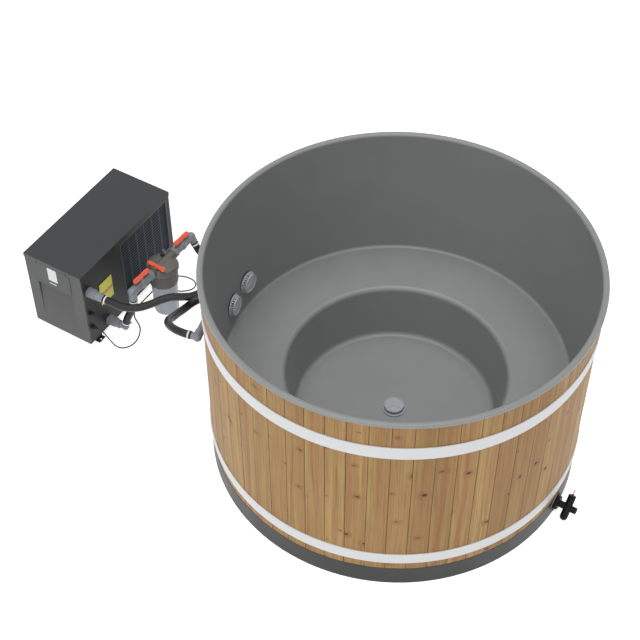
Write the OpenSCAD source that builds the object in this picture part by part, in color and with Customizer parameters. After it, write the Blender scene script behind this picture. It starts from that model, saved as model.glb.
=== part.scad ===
// Barrel hot tub with a round moulded liner, a coopered timber wall, a heat pump and an
// inline cartridge filter. The origin is on the tub's axis at floor level, and +Z is up.
// The heat pump stands on the -X side with its long side along Y.

/* [Liner] */
// Outer radius of the rolled rim
rim_r = 900; // [894:1:910]
// Height of the rim above the floor
tub_h = 1156; // [1140:1:1200]
// Width of the rolled rim
rim_w = 30; // [29:0.5:34]
// Height of the rolled rim
rim_lip = 15; // [13:0.5:20]
// Rounding of the rim's inner edge
rim_round_in = 14; // [8:0.5:14.5]
// Rounding of the rim's outer edge
rim_round_out = 12; // [6:0.5:14]
// Wall thickness of the moulded liner
shell_t = 5; // [3:0.5:6]
// How much narrower the liner is at the seat than under the rim
wall_lean = 46; // [35:1:90]
// Height of the seat
seat_h = 455; // [400:1:480]
// Width of the seat from the wall to the footwell
seat_w = 299; // [260:1:340]
// How much narrower the footwell is at its floor
well_lean = 40; // [25:1:80]
// Height of the footwell's floor
well_floor_h = 162; // [150:1:200]
// Fillet between wall and seat
seat_fillet = 45; // [20:1:60]
// Rounding of the seat's edge
seat_round = 30; // [12:1:40]
// Fillet at the footwell's floor
well_fillet = 25; // [10:1:40]

/* [Timber wall] */
// Number of staves round the tub
stave_count = 60; // [48:1:64]
// How far the staves stand back from the rim's edge
stave_back = 12; // [11:0.5:14]
// Thickness of a stave
stave_t = 20; // [16:0.5:22]
// Thickness left where a stave passes behind the rim
stave_top_t = 12.5; // [10:0.5:12.5]
// Height of that thinner part
stave_top_h = 140; // [100:1:180]
// Open joint between two staves
stave_gap = 0.6; // [0.3:0.1:1.2]
// Thickness of the tongue
tongue_t = 5; // [3:0.5:6]
// Depth of the tongue
tongue_d = 5; // [3:0.5:8]
// Bevel on a stave's outer edges
stave_bevel = 1.8; // [0.5:0.1:3]

/* [Hoops] */
// Thickness of a hoop
hoop_t = 4; // [2:0.5:6]
// Width of the upper hoop
upper_hoop_w = 72; // [40:1:90]
// Height of the upper hoop's lower edge
upper_hoop_z = 930; // [850:1:980]
// Width of the lower hoop
lower_hoop_w = 66; // [40:1:90]
// Height of the lower hoop's lower edge
lower_hoop_z = 165; // [130:1:220]
// Where the hoops close, round the tub
hoop_joint_az = 117; // [60:1:150]

/* [Plinth] */
// How far the plinth stands out from the staves
plinth_out = 1; // [0:0.5:7]
// Height of the plinth
plinth_h = 116; // [100:1:130]
// Wall thickness of the plinth
plinth_t = 8; // [5:0.5:14]
// Width of the shelf that the staves stand on
plinth_shelf = 30; // [26:1:40]
// Thickness of the plinth's floor
plinth_floor_t = 6; // [4:0.5:10]

/* [Wall fittings and drain] */
// Height of the water return
return_z = 605; // [560:1:640]
// Height of the suction
suction_z = 585; // [560:1:640]
// Where the return sits, round the tub
return_az = 180.8; // [178:0.1:182]
// Where the suction sits, round the tub
suction_az = 191; // [190:0.1:192]
// Flange radius of a strainer cover
cover_r = 57; // [52:0.5:60]
// Height of a strainer cover
cover_h = 23; // [18:0.5:30]
// Number of slots in a strainer cover
cover_slots = 22; // [12:1:30]
// Height of the drain valve
drain_z = 66; // [62:1:70]
// Where the drain valve sits, round the tub
drain_az = -1.5; // [-4:0.1:4]

/* [Heat pump] */
// Place of the casing's tub side
pump_x = -1593; // [-1640:1:-1580]
// Place of the casing's front
pump_y = -363; // [-380:1:-340]
// Width of the casing
pump_w = 361; // [340:1:420]
// Length of the casing
pump_l = 751; // [740:1:800]
// Height of the casing's top
pump_top = 518; // [500:1:560]
// Height of the feet
pump_foot_h = 32; // [24:1:40]
// Fan radius
fan_r = 160; // [130:1:165]
// Number of fan blades
fan_blades = 5; // [3:1:7]

/* [Filter] */
// Place of the filter's axis across the pump
filter_x = -1434; // [-1440:1:-1428]
// Place of the filter's axis along the pump
filter_y = 84; // [78:1:90]
// Turn of the filter's pipe from the pump's side
filter_yaw = -2.5; // [-4:0.1:-1]
// Height of the pipe through the filter's head
filter_pipe_z = 328; // [324:1:332]
// Radius of the bowl
bowl_r = 70; // [64:0.5:71]
// Length of a ball valve's lever
lever_l = 116; // [90:1:124]

/* [Hoses] */
// Outer diameter of the hoses
hose_d = 40; // [36:0.5:42]
// Diameter of the sensor cable
cable_d = 7; // [5:0.5:8]

/* [Hidden] */
$fn = 96;
// Facets of the big rounds
round_fn = 360;

// Clearance between pieces that meet on a curve
fit = 0.3;
// Running clearance of a stem or shaft in its bore
run_fit = 0.05;
// Overrun of every cut
cut = 1;

// Liner
wall_top_r = rim_r - rim_w;
seat_r = wall_top_r - wall_lean;
well_top_r = seat_r - seat_w;
well_floor_r = well_top_r - well_lean;
stave_r = rim_r - stave_back;
plinth_r = stave_r + plinth_out;
rim_under_z = tub_h - rim_lip;
arc_steps = 8;

// Timber wall
stave_step = 360 / stave_count;
stave_in_r = stave_r - stave_t;
stave_z0 = plinth_h;
stave_z1 = rim_under_z;
rebate_z = stave_z1 - stave_top_h;
tongue_r = stave_r - stave_t / 2;
tongue_fit = 0.4;
insulation_z0 = seat_h + seat_fillet;
insulation_z1 = rebate_z;

// Hoops
hoop_gap = 24;
lug_out = 26;
lug_t = 6;
lug_bolt_r = 4;
bolt_head_r = 7;
bolt_head_h = 5;
lug_bolt_share = 0.25;
lug_bolt_over = 8;

// Timber frame under the liner
bearer_w = 45;
bearer_ys = [115, 330];
bearer_end_gap = 20;
support_count = 12;
support_t = 40;
support_in_gap = 16;
support_out_gap = 24;
support_rail = 50;

// Strainer covers, used on the wall and over the drain
cover_flange_t = 3;
cover_step = 9;
cover_face_r = cover_r - cover_step;
cover_wall = 4;
cover_recess = 2.5;
cover_rim_w = 5;
spoke_w = 8;
cover_hub_r = 9;
slot_w = 4;
slot_h = 9;
slot_z = 7;

// Wall fittings
fitting_r = 30;
fitting_bore = 17;
fitting_flange_r = 42;
fitting_flange_t = 3;
gasket_t = 5;
gasket_back = 4;
locknut_r = 46;
locknut_t = 10;
pipe_r = 19;
socket_r = 24;
knuckle_extra = 1.5;
tail_len = 48;
return_knee = 37;
return_bend = 45;
suction_tail = 28;
suction_knee = 32;
suction_run = 250;
suction_toe = 3;
suction_socket = 38;

// Drain
drain_cup_r = 34;
drain_cup_wall = 4;
drain_cup_z0 = 34;
drain_flange_r = 50;
drain_flange_t = 3;
drain_pipe_r = 20;
drain_pipe_bore = 16;
valve_flange_r = 45;
valve_flange_t = 7;
valve_gasket_t = 2;
valve_nut_r = 34;
valve_nut_t = 12;
valve_neck_r = 17;
barrel_out = 64;
barrel_r = 18.5;
barrel_len = 96;
barrel_tilt = 40;
plug_r = 13;
plug_bore = 9;
plug_knob_r = 17;
plug_knob_h = 14;
spigot_r = 15.5;
spigot_bore = 11;
spigot_way = 9.5;
spigot_len = 44;
outlet_depth = 28;
pull_ring_r = 12.5;
pull_ring_wire = 1.4;
pull_ear_w = 7;
pull_ear_h = 8;

// Heat pump casing
sheet_t = 2;
lid_lip = 25;
front_t = 10;
casing_in = sheet_t + fit;
tray_lip = 22;
casing_x0 = pump_x - pump_w;
panel_top = pump_top - sheet_t;
coil_y0 = 325;
coil_y1 = 722;
coil_z0 = 134;
coil_z1 = 478;
guard_t = 6;
guard_rim = 6;
slat_pitch = 8.6;
slat_t = 2.4;
guard_bars = 8;
guard_bar_w = 3;
coil_t = 36;
coil_gap = 4;
coil_bends = 12;
coil_bend_r = 11;
coil_tube_r = 4;
control_x0 = 69;
control_x1 = 285;
control_z0 = 353;
control_t = 2;
control_round = 8;
scoop_z0 = 110;
scoop_depth = 7;
foot_y = 54;
foot_w = 50;
foot_out = 10;
foot_t = 3;
foot_hole_r = 5;
foot_hole_in = 1;
foot_channel_in = 12;

// Fan and its drive, in the casing's own frame
fan_y = 523;
fan_z = 282;
fan_x = 40;
fan_tip_gap = 12;
fan_open_r = fan_r + fan_tip_gap;
hub_r = 38;
hub_h = 34;
blade_chord = 112;
blade_t = 2.4;
blade_pitch = 30;
blade_camber_r = 150;
shaft_r = 5;
shaft_len = 34;
motor_r = 44;
motor_h = 66;
motor_band_share = 0.3;
motor_gap = 8;
bracket_w = 92;
bracket_t = 3;
bracket_foot = 28;
guard_ring_w = 3;
guard_ring_count = 10;
fan_guard_t = 4;
fan_guard_over = 8;
guard_spokes = 8;

// Refrigerant and water parts, in the casing's own frame
divider_y = 304;
compressor_x = 105;
compressor_y = 236;
compressor_r = 56;
compressor_h = 210;
compressor_dome = 24;
mount_pad_r = 12;
mount_pad_h = 16;
mount_plate_t = 4;
accumulator_r = 24;
accumulator_h = 150;
tank_x = 275;
tank_y = 80;
tank_r = 46;
tank_h = 390;
port_r = 17;
circ_r = 32;
circ_x0 = 200;
circ_volute_x = 262;
circ_end_x = 330;
circ_fins = 8;
fin_t = 2;
fin_gap = 6;
fin_h = 3;
box_x0 = 60;
box_w = 210;
box_d = 58;
box_z0 = 320;
box_h = 150;

// Unions and glands on the casing's tub side, in the casing's own frame
outlet_y = 50;
outlet_z = 384;
inlet_y = 166;
inlet_z = 74;
stub_r = 18;
stub_in = 8;
collar_r = 28;
collar_t = 9;
union_nut_r = 25;
union_nut_t = 40;
union_r = 22.5;
union_len = 95;
union_ribs = 16;
rib_r = 1.6;
inlet_sleeve = 74;
inlet_pipe_r = 16;
inlet_knee = 103;
inlet_rise = 19;
inlet_tilt = 12;
inlet_turn = 39;
gland_y = 36;
gland_zs = [138, 240];
gland_stub_r = 8;
gland_nut_r = 13;
gland_nut_t = 6;
gland_dome_r = 10;
gland_len = 26;

// Filter
bowl_foot_r = 66;
bowl_wall = 4;
bowl_round = 14;
bowl_top = 284;
ring_z0 = 213;
ring_z1 = 297;
ring_t = 5.5;
ring_ribs = 24;
ring_rib_r = 1.5;
ring_rib_in = 8;
head_r = 86;
head_wide_z = 318;
head_top = 346;
head_edge_share = 0.9;
head_shoulder_share = 0.65;
head_crown_share = 0.3;
head_crown_drop = 3;
head_plug_h = 16;
port_out_r = 24;
port_end = 90;
water_bore = 13;
cartridge_r = 54;
cartridge_core_r = 18;
cartridge_pleats = 36;
cartridge_z0 = 12;
cartridge_cap = 8;
cartridge_z1 = 262;
pleat_depth = 7;
cartridge_cap_over = 1.5;
bypass_y = -56;
bypass_shift = 10;
bypass_boss_r = 20;
bypass_ball_r = 16;
bleed_x = -22;
bleed_y = 34;
bleed_r = 4;
bleed_knob_r = 10;
bleed_knob_h = 11;
bleed_boss_r = 12;
bleed_seat = 8;
sensor_az = 125;
sensor_out = 104;
sensor_r = 9;
sensor_drop = 34;

// Ball valves
valve_y = 165;
valve_end = 244;
valve_collar_r = 27;
valve_collar_t = 24;
valve_tube_r = 22;
valve_body_r = 28;
valve_body_l = 70;
inlet_leg = 34;
outlet_leg = 50;
inlet_lean = 30;
ball_r = 19;
ball_fit = 0.3;
stem_r = 5;
tower_r = 10;
tower_h = 44;
lever_w = 25;
lever_t = 10;
lever_waist_share = 0.72;
lever_ridge_w = 6;
lever_ridge_h = 2;
lever_pad_share = 0.25;
bypass_lever_l = 112;
bypass_lever_w = 20;
bypass_knob_r = 13;
bypass_tower_h = 30;

// Clamps and hose ends
clamp_w = 8;
clamp_t = 2.2;
clamp_in = 14;
clamp_lug = 7;
hose_sides = 12;
cable_sides = 8;
link_rings = 8;
link_lead = 22;
link_handle_share = 0.36;

timber = [0.66, 0.53, 0.38];
raw_timber = [0.78, 0.66, 0.48];
liner_grey = [0.48, 0.49, 0.49];
plinth_grey = [0.29, 0.30, 0.31];
hoop_white = [0.86, 0.87, 0.87];
casing_grey = [0.27, 0.28, 0.29];
dark_blue = [0.11, 0.14, 0.18];
pvc_grey = [0.47, 0.50, 0.54];
strainer_grey = [0.62, 0.65, 0.68];
lever_orange = [0.90, 0.36, 0.22];
black = [0.08, 0.08, 0.08];
hose_black = [0.16, 0.17, 0.17];
zinc = [0.70, 0.71, 0.72];
copper = [0.72, 0.45, 0.30];
foam_colour = [0.86, 0.80, 0.55];
bowl_grey = [0.62, 0.63, 0.68, 0.6];
paper_white = [0.92, 0.92, 0.90];
clamp_white = [0.95, 0.95, 0.95];

// Radius of the liner's inner wall at height z
function wall_r(z) = seat_r + (wall_top_r - seat_r) * (z - seat_h) / (rim_under_z - seat_h);

// Points on an arc in the plane, from angle a to angle b
function arc(cx, cy, r, a, b) =
    [for (i = [0:arc_steps]) let (t = a + (b - a) * i / arc_steps) [cx + r * cos(t), cy + r * sin(t)]];

// The liner's line from under the rim to the axis, set back by t into the wall
function liner_line(t) = concat(
    [[wall_top_r + t, rim_under_z]],
    arc(wall_r(seat_h + seat_fillet) - seat_fillet, seat_h + seat_fillet, seat_fillet + t, 0, -90),
    arc(well_top_r + seat_round, seat_h - seat_round, seat_round - t, 90, 180),
    arc(well_floor_r - well_fillet, well_floor_h + well_fillet, well_fillet + t, 0, -90),
    [[0, well_floor_h - t]]);

function reversed(list) = [for (i = [len(list) - 1:-1:0]) list[i]];

function unit(v) = v / norm(v);

// A point given round the tub: radius, sideways shift and height at azimuth az
function round_tub(az, r, s, z) = [r * cos(az) - s * sin(az), r * sin(az) + s * cos(az), z];

// A point in the filter's own frame
function at_filter_point(p) = [
    filter_x + p[0] * cos(filter_yaw) - p[1] * sin(filter_yaw),
    filter_y + p[0] * sin(filter_yaw) + p[1] * cos(filter_yaw), p[2]];

// Directions in which the hoses leave their fittings
return_dir = let (d = [cos(return_bend), sin(return_bend) * sin(45), -sin(return_bend) * sin(45)])
    round_tub(return_az, d[0], d[1], d[2]);
suction_dir = round_tub(suction_az, 1, 0, 0);
suction_side = round_tub(suction_az, -sin(suction_toe), cos(suction_toe), 0);
filter_drop_dir = [0, 0, -1];
inlet_dir = [sin(inlet_tilt) * cos(inlet_turn), sin(inlet_tilt) * sin(inlet_turn), cos(inlet_tilt)];
filter_in_dir = [sin(inlet_lean) * cos(filter_yaw), sin(inlet_lean) * sin(filter_yaw), -cos(inlet_lean)];

// Places where the hoses meet their fittings
return_knee_at = round_tub(return_az, stave_r + return_knee, 0, return_z);
return_end = return_knee_at + return_dir * tail_len;
suction_first_at = round_tub(suction_az, stave_r + suction_knee, 0, suction_z);
suction_knee_at = suction_first_at + suction_side * suction_run;
suction_end = suction_knee_at + suction_dir * suction_tail;
outlet_end = [pump_x - casing_in + union_len, pump_y + outlet_y, outlet_z];
inlet_end = [pump_x + inlet_knee, pump_y + inlet_y, inlet_z] + inlet_dir * inlet_rise;
filter_out_end = at_filter_point([0, -valve_end, filter_pipe_z]) + filter_drop_dir * outlet_leg;
filter_in_end = at_filter_point([0, valve_end, filter_pipe_z]) + filter_in_dir * inlet_leg;
gland_end = [pump_x - casing_in + gland_len, pump_y + gland_y, gland_zs[0]];
sensor_at = at_filter_point([sensor_out * cos(sensor_az), sensor_out * sin(sensor_az),
    head_wide_z - sensor_drop]);

// Hose from the heat pump to the return, from its union to the tub
return_route = concat([outlet_end, outlet_end + [hose_d, 0, 0]],
    [[-1398, -311, 385], [-1347, -297, 390], [-1300, -274, 401], [-1260, -241, 416],
    [-1224, -205, 432], [-1185, -173, 445], [-1139, -152, 455], [-1093, -137, 470],
    [-1054, -117, 492], [-1022, -92, 523]],
    [return_end + return_dir * hose_d, return_end]);

// Hose from the suction to the filter, from the tub to the right-hand valve
suction_route = concat([suction_end, suction_end + suction_dir * hose_d],
    [[-958, -428, 577], [-1002, -412, 562], [-1037, -386, 541], [-1061, -351, 516],
    [-1072, -308, 488], [-1083, -254, 460], [-1088, -197, 436], [-1088, -138, 421],
    [-1084, -78, 399], [-1083, -26, 362], [-1087, 19, 317], [-1098, 58, 268], [-1115, 96, 221],
    [-1141, 137, 183], [-1175, 182, 158], [-1217, 228, 150], [-1263, 270, 158],
    [-1308, 303, 184], [-1347, 321, 224]],
    [filter_in_end + filter_in_dir * hose_d, filter_in_end]);

// Cable from the lower gland along the floor to the sensor on the filter's head
cable_route = concat([gland_end],
    [[-1548, -327, 138], [-1529, -326, 129], [-1515, -323, 110], [-1505, -317, 84],
    [-1496, -309, 56], [-1486, -300, 30], [-1473, -289, 12], [-1457, -276, 4],
    [-1441, -259, 4], [-1430, -236, 4], [-1427, -208, 4], [-1432, -178, 4], [-1444, -148, 4],
    [-1461, -121, 4], [-1485, -100, 4], [-1513, -84, 4], [-1540, -65, 4], [-1558, -38, 4],
    [-1566, -5, 4], [-1568, 35, 4], [-1567, 80, 4], [-1567, 125, 4], [-1569, 170, 4],
    [-1569, 212, 4], [-1560, 250, 4], [-1538, 283, 4], [-1506, 306, 4], [-1468, 318, 4],
    [-1430, 318, 4], [-1402, 304, 4], [-1391, 279, 4], [-1398, 251, 4], [-1419, 228, 4],
    [-1444, 210, 5], [-1466, 195, 18], [-1479, 184, 50], [-1485, 176, 100]],
    [sensor_at - [0, 0, cable_d * 12], sensor_at]);

// Short hose from the filter's left-hand valve down to the heat pump's inlet
link_route = let (a = filter_out_end + filter_drop_dir * link_lead, d = inlet_end + inlet_dir * link_lead,
    h = norm(d - a) * link_handle_share, b = a + filter_drop_dir * h, c = d + inlet_dir * h)
    concat([filter_out_end],
        [for (i = [0:link_rings]) let (t = i / link_rings, u = 1 - t)
            a * u * u * u + b * 3 * u * u * t + c * 3 * u * t * t + d * t * t * t],
        [inlet_end]);

// Direction of a route at its point i
function route_dir(p, i) = unit(p[min(i + 1, len(p) - 1)] - p[max(i - 1, 0)]);

// Directions across a route, carried from ring to ring without twist
function across(p, i) = i == 0
    ? unit(cross(route_dir(p, 0), abs(route_dir(p, 0)[2]) > 0.9 ? [1, 0, 0] : [0, 0, 1]))
    : let (a = across(p, i - 1), d = route_dir(p, i)) unit(a - d * (a * d));

// Tube of radius r along the route p, closed at both ends
module tube(p, r, sides) {
    n = len(p);
    sides_a = [for (i = [0:n - 1]) across(p, i)];
    points = [for (i = [0:n - 1]) let (a = sides_a[i], b = cross(route_dir(p, i), a))
        for (k = [0:sides - 1]) p[i] + r * (a * cos(360 * k / sides) + b * sin(360 * k / sides))];
    skin = [for (i = [0:n - 2]) for (k = [0:sides - 1]) let (m = (k + 1) % sides)
        each [[i * sides + k, (i + 1) * sides + k, (i + 1) * sides + m],
            [i * sides + k, (i + 1) * sides + m, i * sides + m]]];
    ends = [[for (k = [0:sides - 1]) k], [for (k = [sides - 1:-1:0]) (n - 1) * sides + k]];
    polyhedron(points, concat(skin, ends));
}

// Turns +Z to the direction v
module along(v) rotate([0, acos(v[2] / norm(v)), atan2(v[1], v[0])]) children();

// Flat ring that stands on the XY plane
module ring(ro, ri, h) difference() {
    cylinder(r = ro, h = h);
    translate([0, 0, -cut]) cylinder(r = ri, h = h + 2 * cut);
}

// Hexagonal prism, r to its corners, made of planes
module hexagon(r, h) cylinder(r = r, h = h, $fn = 6);

// Frame on the tub's wall with +X outwards from the inner face at height z
module on_wall(az, z) rotate([0, 0, az]) translate([wall_r(z), 0, z]) children();

// Frame on the outside of the staves with +X outwards
module on_staves(az, z) rotate([0, 0, az]) translate([stave_r, 0, z]) children();

// Frame of the heat pump's casing, its corner away from the tub at the front
module in_casing() translate([casing_x0, pump_y, 0]) children();

// Frame of the filter, on its axis at floor level
module in_filter() translate([filter_x, filter_y, 0]) rotate([0, 0, filter_yaw]) children();

// Cylinder along +X or along +Y
module x_cylinder(r, h) rotate([0, 90, 0]) cylinder(r = r, h = h);
module y_cylinder(r, h) rotate([-90, 0, 0]) cylinder(r = r, h = h);

// Drill through the wall at both fittings
module fitting_holes(r) {
    for (place = [[return_az, return_z], [suction_az, suction_z]])
        on_wall(place[0], place[1]) translate([-seat_fillet, 0, 0])
            x_cylinder(r, rim_r - seat_r + seat_fillet + rim_w);
}

module tub_liner() color(liner_grey) difference() {
    rotate_extrude($fn = round_fn) polygon(concat(
        arc(rim_r - rim_round_out, tub_h - rim_round_out, rim_round_out, 0, 90),
        arc(wall_top_r + rim_round_in, tub_h - rim_round_in, rim_round_in, 90, 180),
        liner_line(0), reversed(liner_line(shell_t)), [[rim_r, rim_under_z]]));
    fitting_holes(fitting_r + fit);
    translate([0, 0, drain_cup_z0]) cylinder(r = drain_cup_r + fit, h = well_floor_h);
}

module base_plinth() color(plinth_grey) difference() {
    rotate_extrude($fn = round_fn) polygon([[0, 0], [plinth_r, 0], [plinth_r, plinth_h],
        [plinth_r - plinth_shelf, plinth_h], [plinth_r - plinth_shelf, plinth_h - plinth_t],
        [plinth_r - plinth_t, plinth_h - plinth_t], [plinth_r - plinth_t, plinth_floor_t],
        [0, plinth_floor_t]]);
    rotate([0, 0, drain_az]) translate([well_top_r, 0, drain_z])
        x_cylinder(drain_pipe_r + fit, plinth_r);
}

module base_bearers() color(raw_timber)
    for (y = bearer_ys, side = [-1, 1]) {
        half_l = sqrt(pow(well_floor_r - well_fillet, 2) - y * y) - bearer_end_gap;
        translate([-half_l, side * y - bearer_w / 2, plinth_floor_t])
            cube([2 * half_l, bearer_w, well_floor_h - shell_t - plinth_floor_t]);
    }

// Upright frames that carry the seat, with an open window in each
module seat_supports() color(raw_timber) {
    r0 = well_top_r + seat_round + support_in_gap;
    r1 = wall_r(seat_h) - seat_fillet + support_out_gap - support_rail / 2;
    z1 = seat_h - shell_t;
    for (i = [0:support_count - 1])
        rotate([90, 0, (i + 0.5) * 360 / support_count]) translate([0, 0, -support_t / 2])
            linear_extrude(support_t) difference() {
                polygon([[r0, plinth_floor_t], [r1, plinth_floor_t], [r1, z1], [r0, z1]]);
                polygon([[r0 + support_rail, plinth_floor_t + support_rail],
                    [r1 - support_rail, plinth_floor_t + support_rail],
                    [r1 - support_rail, z1 - support_rail], [r0 + support_rail, z1 - support_rail]]);
            }
}

// One stave with its tongue, groove, rebate and bevels
module stave() {
    gap_angle = stave_gap / stave_r * 180 / PI;
    body = stave_step - gap_angle;
    reach = tongue_d / stave_r * 180 / PI;
    slack = tongue_fit / stave_r * 180 / PI;
    height = stave_z1 - stave_z0;
    difference() {
        union() {
            rotate([0, 0, -body / 2]) rotate_extrude(angle = body, $fn = round_fn)
                polygon([[stave_in_r, stave_z0], [stave_r, stave_z0], [stave_r, stave_z1],
                    [stave_r - stave_top_t, stave_z1], [stave_r - stave_top_t, rebate_z],
                    [stave_in_r, rebate_z]]);
            rotate([0, 0, body / 2 - reach]) rotate_extrude(angle = 2 * reach, $fn = round_fn)
                translate([tongue_r - tongue_t / 2, stave_z0]) square([tongue_t, height]);
        }
        rotate([0, 0, -body / 2 - reach])
            rotate_extrude(angle = 2 * reach + gap_angle + slack, $fn = round_fn)
            translate([tongue_r - tongue_t / 2 - tongue_fit, stave_z0 - cut])
                square([tongue_t + 2 * tongue_fit, height + 2 * cut]);
        for (side = [-1, 1])
            rotate([0, 0, side * body / 2]) translate([stave_r, 0, (stave_z0 + stave_z1) / 2])
                rotate([0, 0, 45])
                    cube([stave_bevel * sqrt(2), stave_bevel * sqrt(2), height + 2 * cut], center = true);
    }
}

module wall_staves() color(timber)
    for (i = [0:stave_count - 1]) {
        az = i * stave_step;
        near = abs(az - (return_az + suction_az) / 2) < 2.5 * stave_step;
        if (near) difference() {
            rotate([0, 0, az]) stave();
            fitting_holes(fitting_r + fit);
        } else rotate([0, 0, az]) stave();
    }

module wall_insulation() color(foam_colour) difference() {
    rotate_extrude($fn = round_fn) polygon([[wall_r(insulation_z0) + shell_t + fit, insulation_z0],
        [stave_in_r - fit, insulation_z0], [stave_in_r - fit, insulation_z1],
        [wall_r(insulation_z1) + shell_t + fit, insulation_z1]]);
    fitting_holes(fitting_r + fit);
}

// Split band with a pair of drilled lugs
module hoop(z, w) {
    r0 = stave_r + fit;
    lug_turn = (hoop_gap / 2 + lug_t) / r0 * 180 / PI;
    translate([0, 0, z]) rotate([0, 0, hoop_joint_az]) difference() {
        union() {
            rotate_extrude($fn = round_fn) translate([r0, 0]) square([hoop_t, w]);
            rotate([0, 0, -lug_turn]) rotate_extrude(angle = 2 * lug_turn, $fn = round_fn)
                translate([r0 + hoop_t / 2, 0]) square([hoop_t / 2 + lug_out, w]);
        }
        translate([r0 - hoop_t, -hoop_gap / 2, -cut]) cube([lug_out + 3 * hoop_t, hoop_gap, w + 2 * cut]);
        for (share = [lug_bolt_share, 1 - lug_bolt_share])
            translate([r0 + lug_out / 2 + hoop_t, -hoop_gap, w * share])
                y_cylinder(lug_bolt_r + fit, 2 * hoop_gap);
    }
}

module hoop_upper() color(hoop_white) hoop(upper_hoop_z, upper_hoop_w);

module hoop_lower() color(hoop_white) hoop(lower_hoop_z, lower_hoop_w);

// Bolts with heads and nuts through the lugs, seated on both lugs
module hoop_bolts() color(zinc)
    for (h = [[upper_hoop_z, upper_hoop_w], [lower_hoop_z, lower_hoop_w]],
         share = [lug_bolt_share, 1 - lug_bolt_share]) {
        half = hoop_gap / 2 + lug_t + 2 * fit;
        rotate([0, 0, hoop_joint_az])
            translate([stave_r + fit + lug_out / 2 + hoop_t, 0, h[0] + h[1] * share]) {
                translate([0, -half - bolt_head_h, 0])
                    y_cylinder(lug_bolt_r, 2 * half + bolt_head_h + lug_bolt_over);
                for (y = [-half - bolt_head_h, half])
                    translate([0, y, 0]) rotate([-90, 0, 0]) hexagon(bolt_head_r, bolt_head_h);
            }
    }

// Slotted cover with a rim, a hub and three raised spokes, standing on the XY plane
module strainer_cover() difference() {
    union() {
        cylinder(r = cover_r, h = cover_flange_t);
        cylinder(r = cover_face_r, h = cover_h);
    }
    translate([0, 0, -cut])
        cylinder(r = cover_face_r - cover_wall, h = cover_h - cover_wall - cover_recess + cut);
    translate([0, 0, cover_h - cover_recess]) difference() {
        cylinder(r = cover_face_r - cover_rim_w, h = cover_recess + cut);
        cylinder(r = cover_hub_r, h = cover_recess + 2 * cut);
        for (a = [90, 210, 330])
            rotate([0, 0, a]) translate([0, -spoke_w / 2, 0])
                cube([cover_face_r, spoke_w, cover_recess + 2 * cut]);
    }
    for (i = [0:cover_slots - 1])
        rotate([0, 0, i * 360 / cover_slots])
            translate([cover_face_r - cover_wall - cut, -slot_w / 2, slot_z])
                cube([cover_wall + 2 * cut, slot_w, slot_h]);
}

module wall_cover(az, z) color(strainer_grey)
    on_wall(az, z) translate([-gasket_t, 0, 0]) rotate([0, -90, 0]) strainer_cover();

module return_cover() wall_cover(return_az, return_z);

module suction_cover() wall_cover(suction_az, suction_z);

// Threaded tube through the wall with a flange behind the cover
module fitting_body(az, z, outer) on_wall(az, z) {
    depth = stave_r - wall_r(z) + outer;
    difference() {
        union() {
            translate([-gasket_t - fitting_flange_t, 0, 0]) x_cylinder(fitting_flange_r, fitting_flange_t);
            translate([-gasket_t - fitting_flange_t, 0, 0])
                x_cylinder(fitting_r, depth + gasket_t + fitting_flange_t);
        }
        translate([-seat_fillet, 0, 0]) x_cylinder(fitting_bore, depth + 2 * seat_fillet);
    }
}

module fitting_bodies() color(pvc_grey) {
    fitting_body(return_az, return_z, locknut_t);
    fitting_body(suction_az, suction_z, locknut_t);
}

// Gasket whose back follows the sloping round wall
module fitting_gasket(az, z) difference() {
    on_wall(az, z) translate([-gasket_t, 0, 0]) rotate([0, 90, 0])
        ring(cover_r, fitting_r + fit, gasket_t + gasket_back);
    rotate([0, 0, az - 2 * stave_step]) rotate_extrude(angle = 4 * stave_step, $fn = 4 * round_fn)
        polygon([[wall_r(seat_h) - fit, seat_h], [rim_r, seat_h], [rim_r, rim_under_z],
            [wall_r(rim_under_z) - fit, rim_under_z]]);
}

module fitting_gaskets() color(black) {
    fitting_gasket(return_az, return_z);
    fitting_gasket(suction_az, suction_z);
}

module fitting_locknuts() color(pvc_grey)
    for (place = [[return_az, return_z], [suction_az, suction_z]])
        on_staves(place[0], place[1]) difference() {
            rotate([0, 90, 0]) hexagon(locknut_r, locknut_t);
            translate([-cut, 0, 0]) x_cylinder(fitting_r + fit, locknut_t + 2 * cut);
        }

// Straight leg of pipe from the point p in the direction v
module leg(p, v, r, l) translate(p) along(v) cylinder(r = r, h = l);

// Elbow of 45 degrees on the return, from its nut to the hose
module return_tail() color(pvc_grey) {
    start = round_tub(return_az, stave_r + locknut_t, 0, return_z);
    out = round_tub(return_az, 1, 0, 0);
    stem = norm(return_knee_at - start);
    difference() {
        union() {
            leg(start, out, socket_r, stem);
            translate(return_knee_at) sphere(r = socket_r + knuckle_extra);
            leg(return_knee_at, return_dir, pipe_r, tail_len);
            leg(return_knee_at, return_dir, socket_r, tail_len / 2);
        }
        leg(start - out, out, fitting_bore - cut, stem + cut);
        translate(return_knee_at) sphere(r = fitting_bore);
        leg(return_knee_at, return_dir, fitting_bore - cut, tail_len + cut);
    }
}

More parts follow.
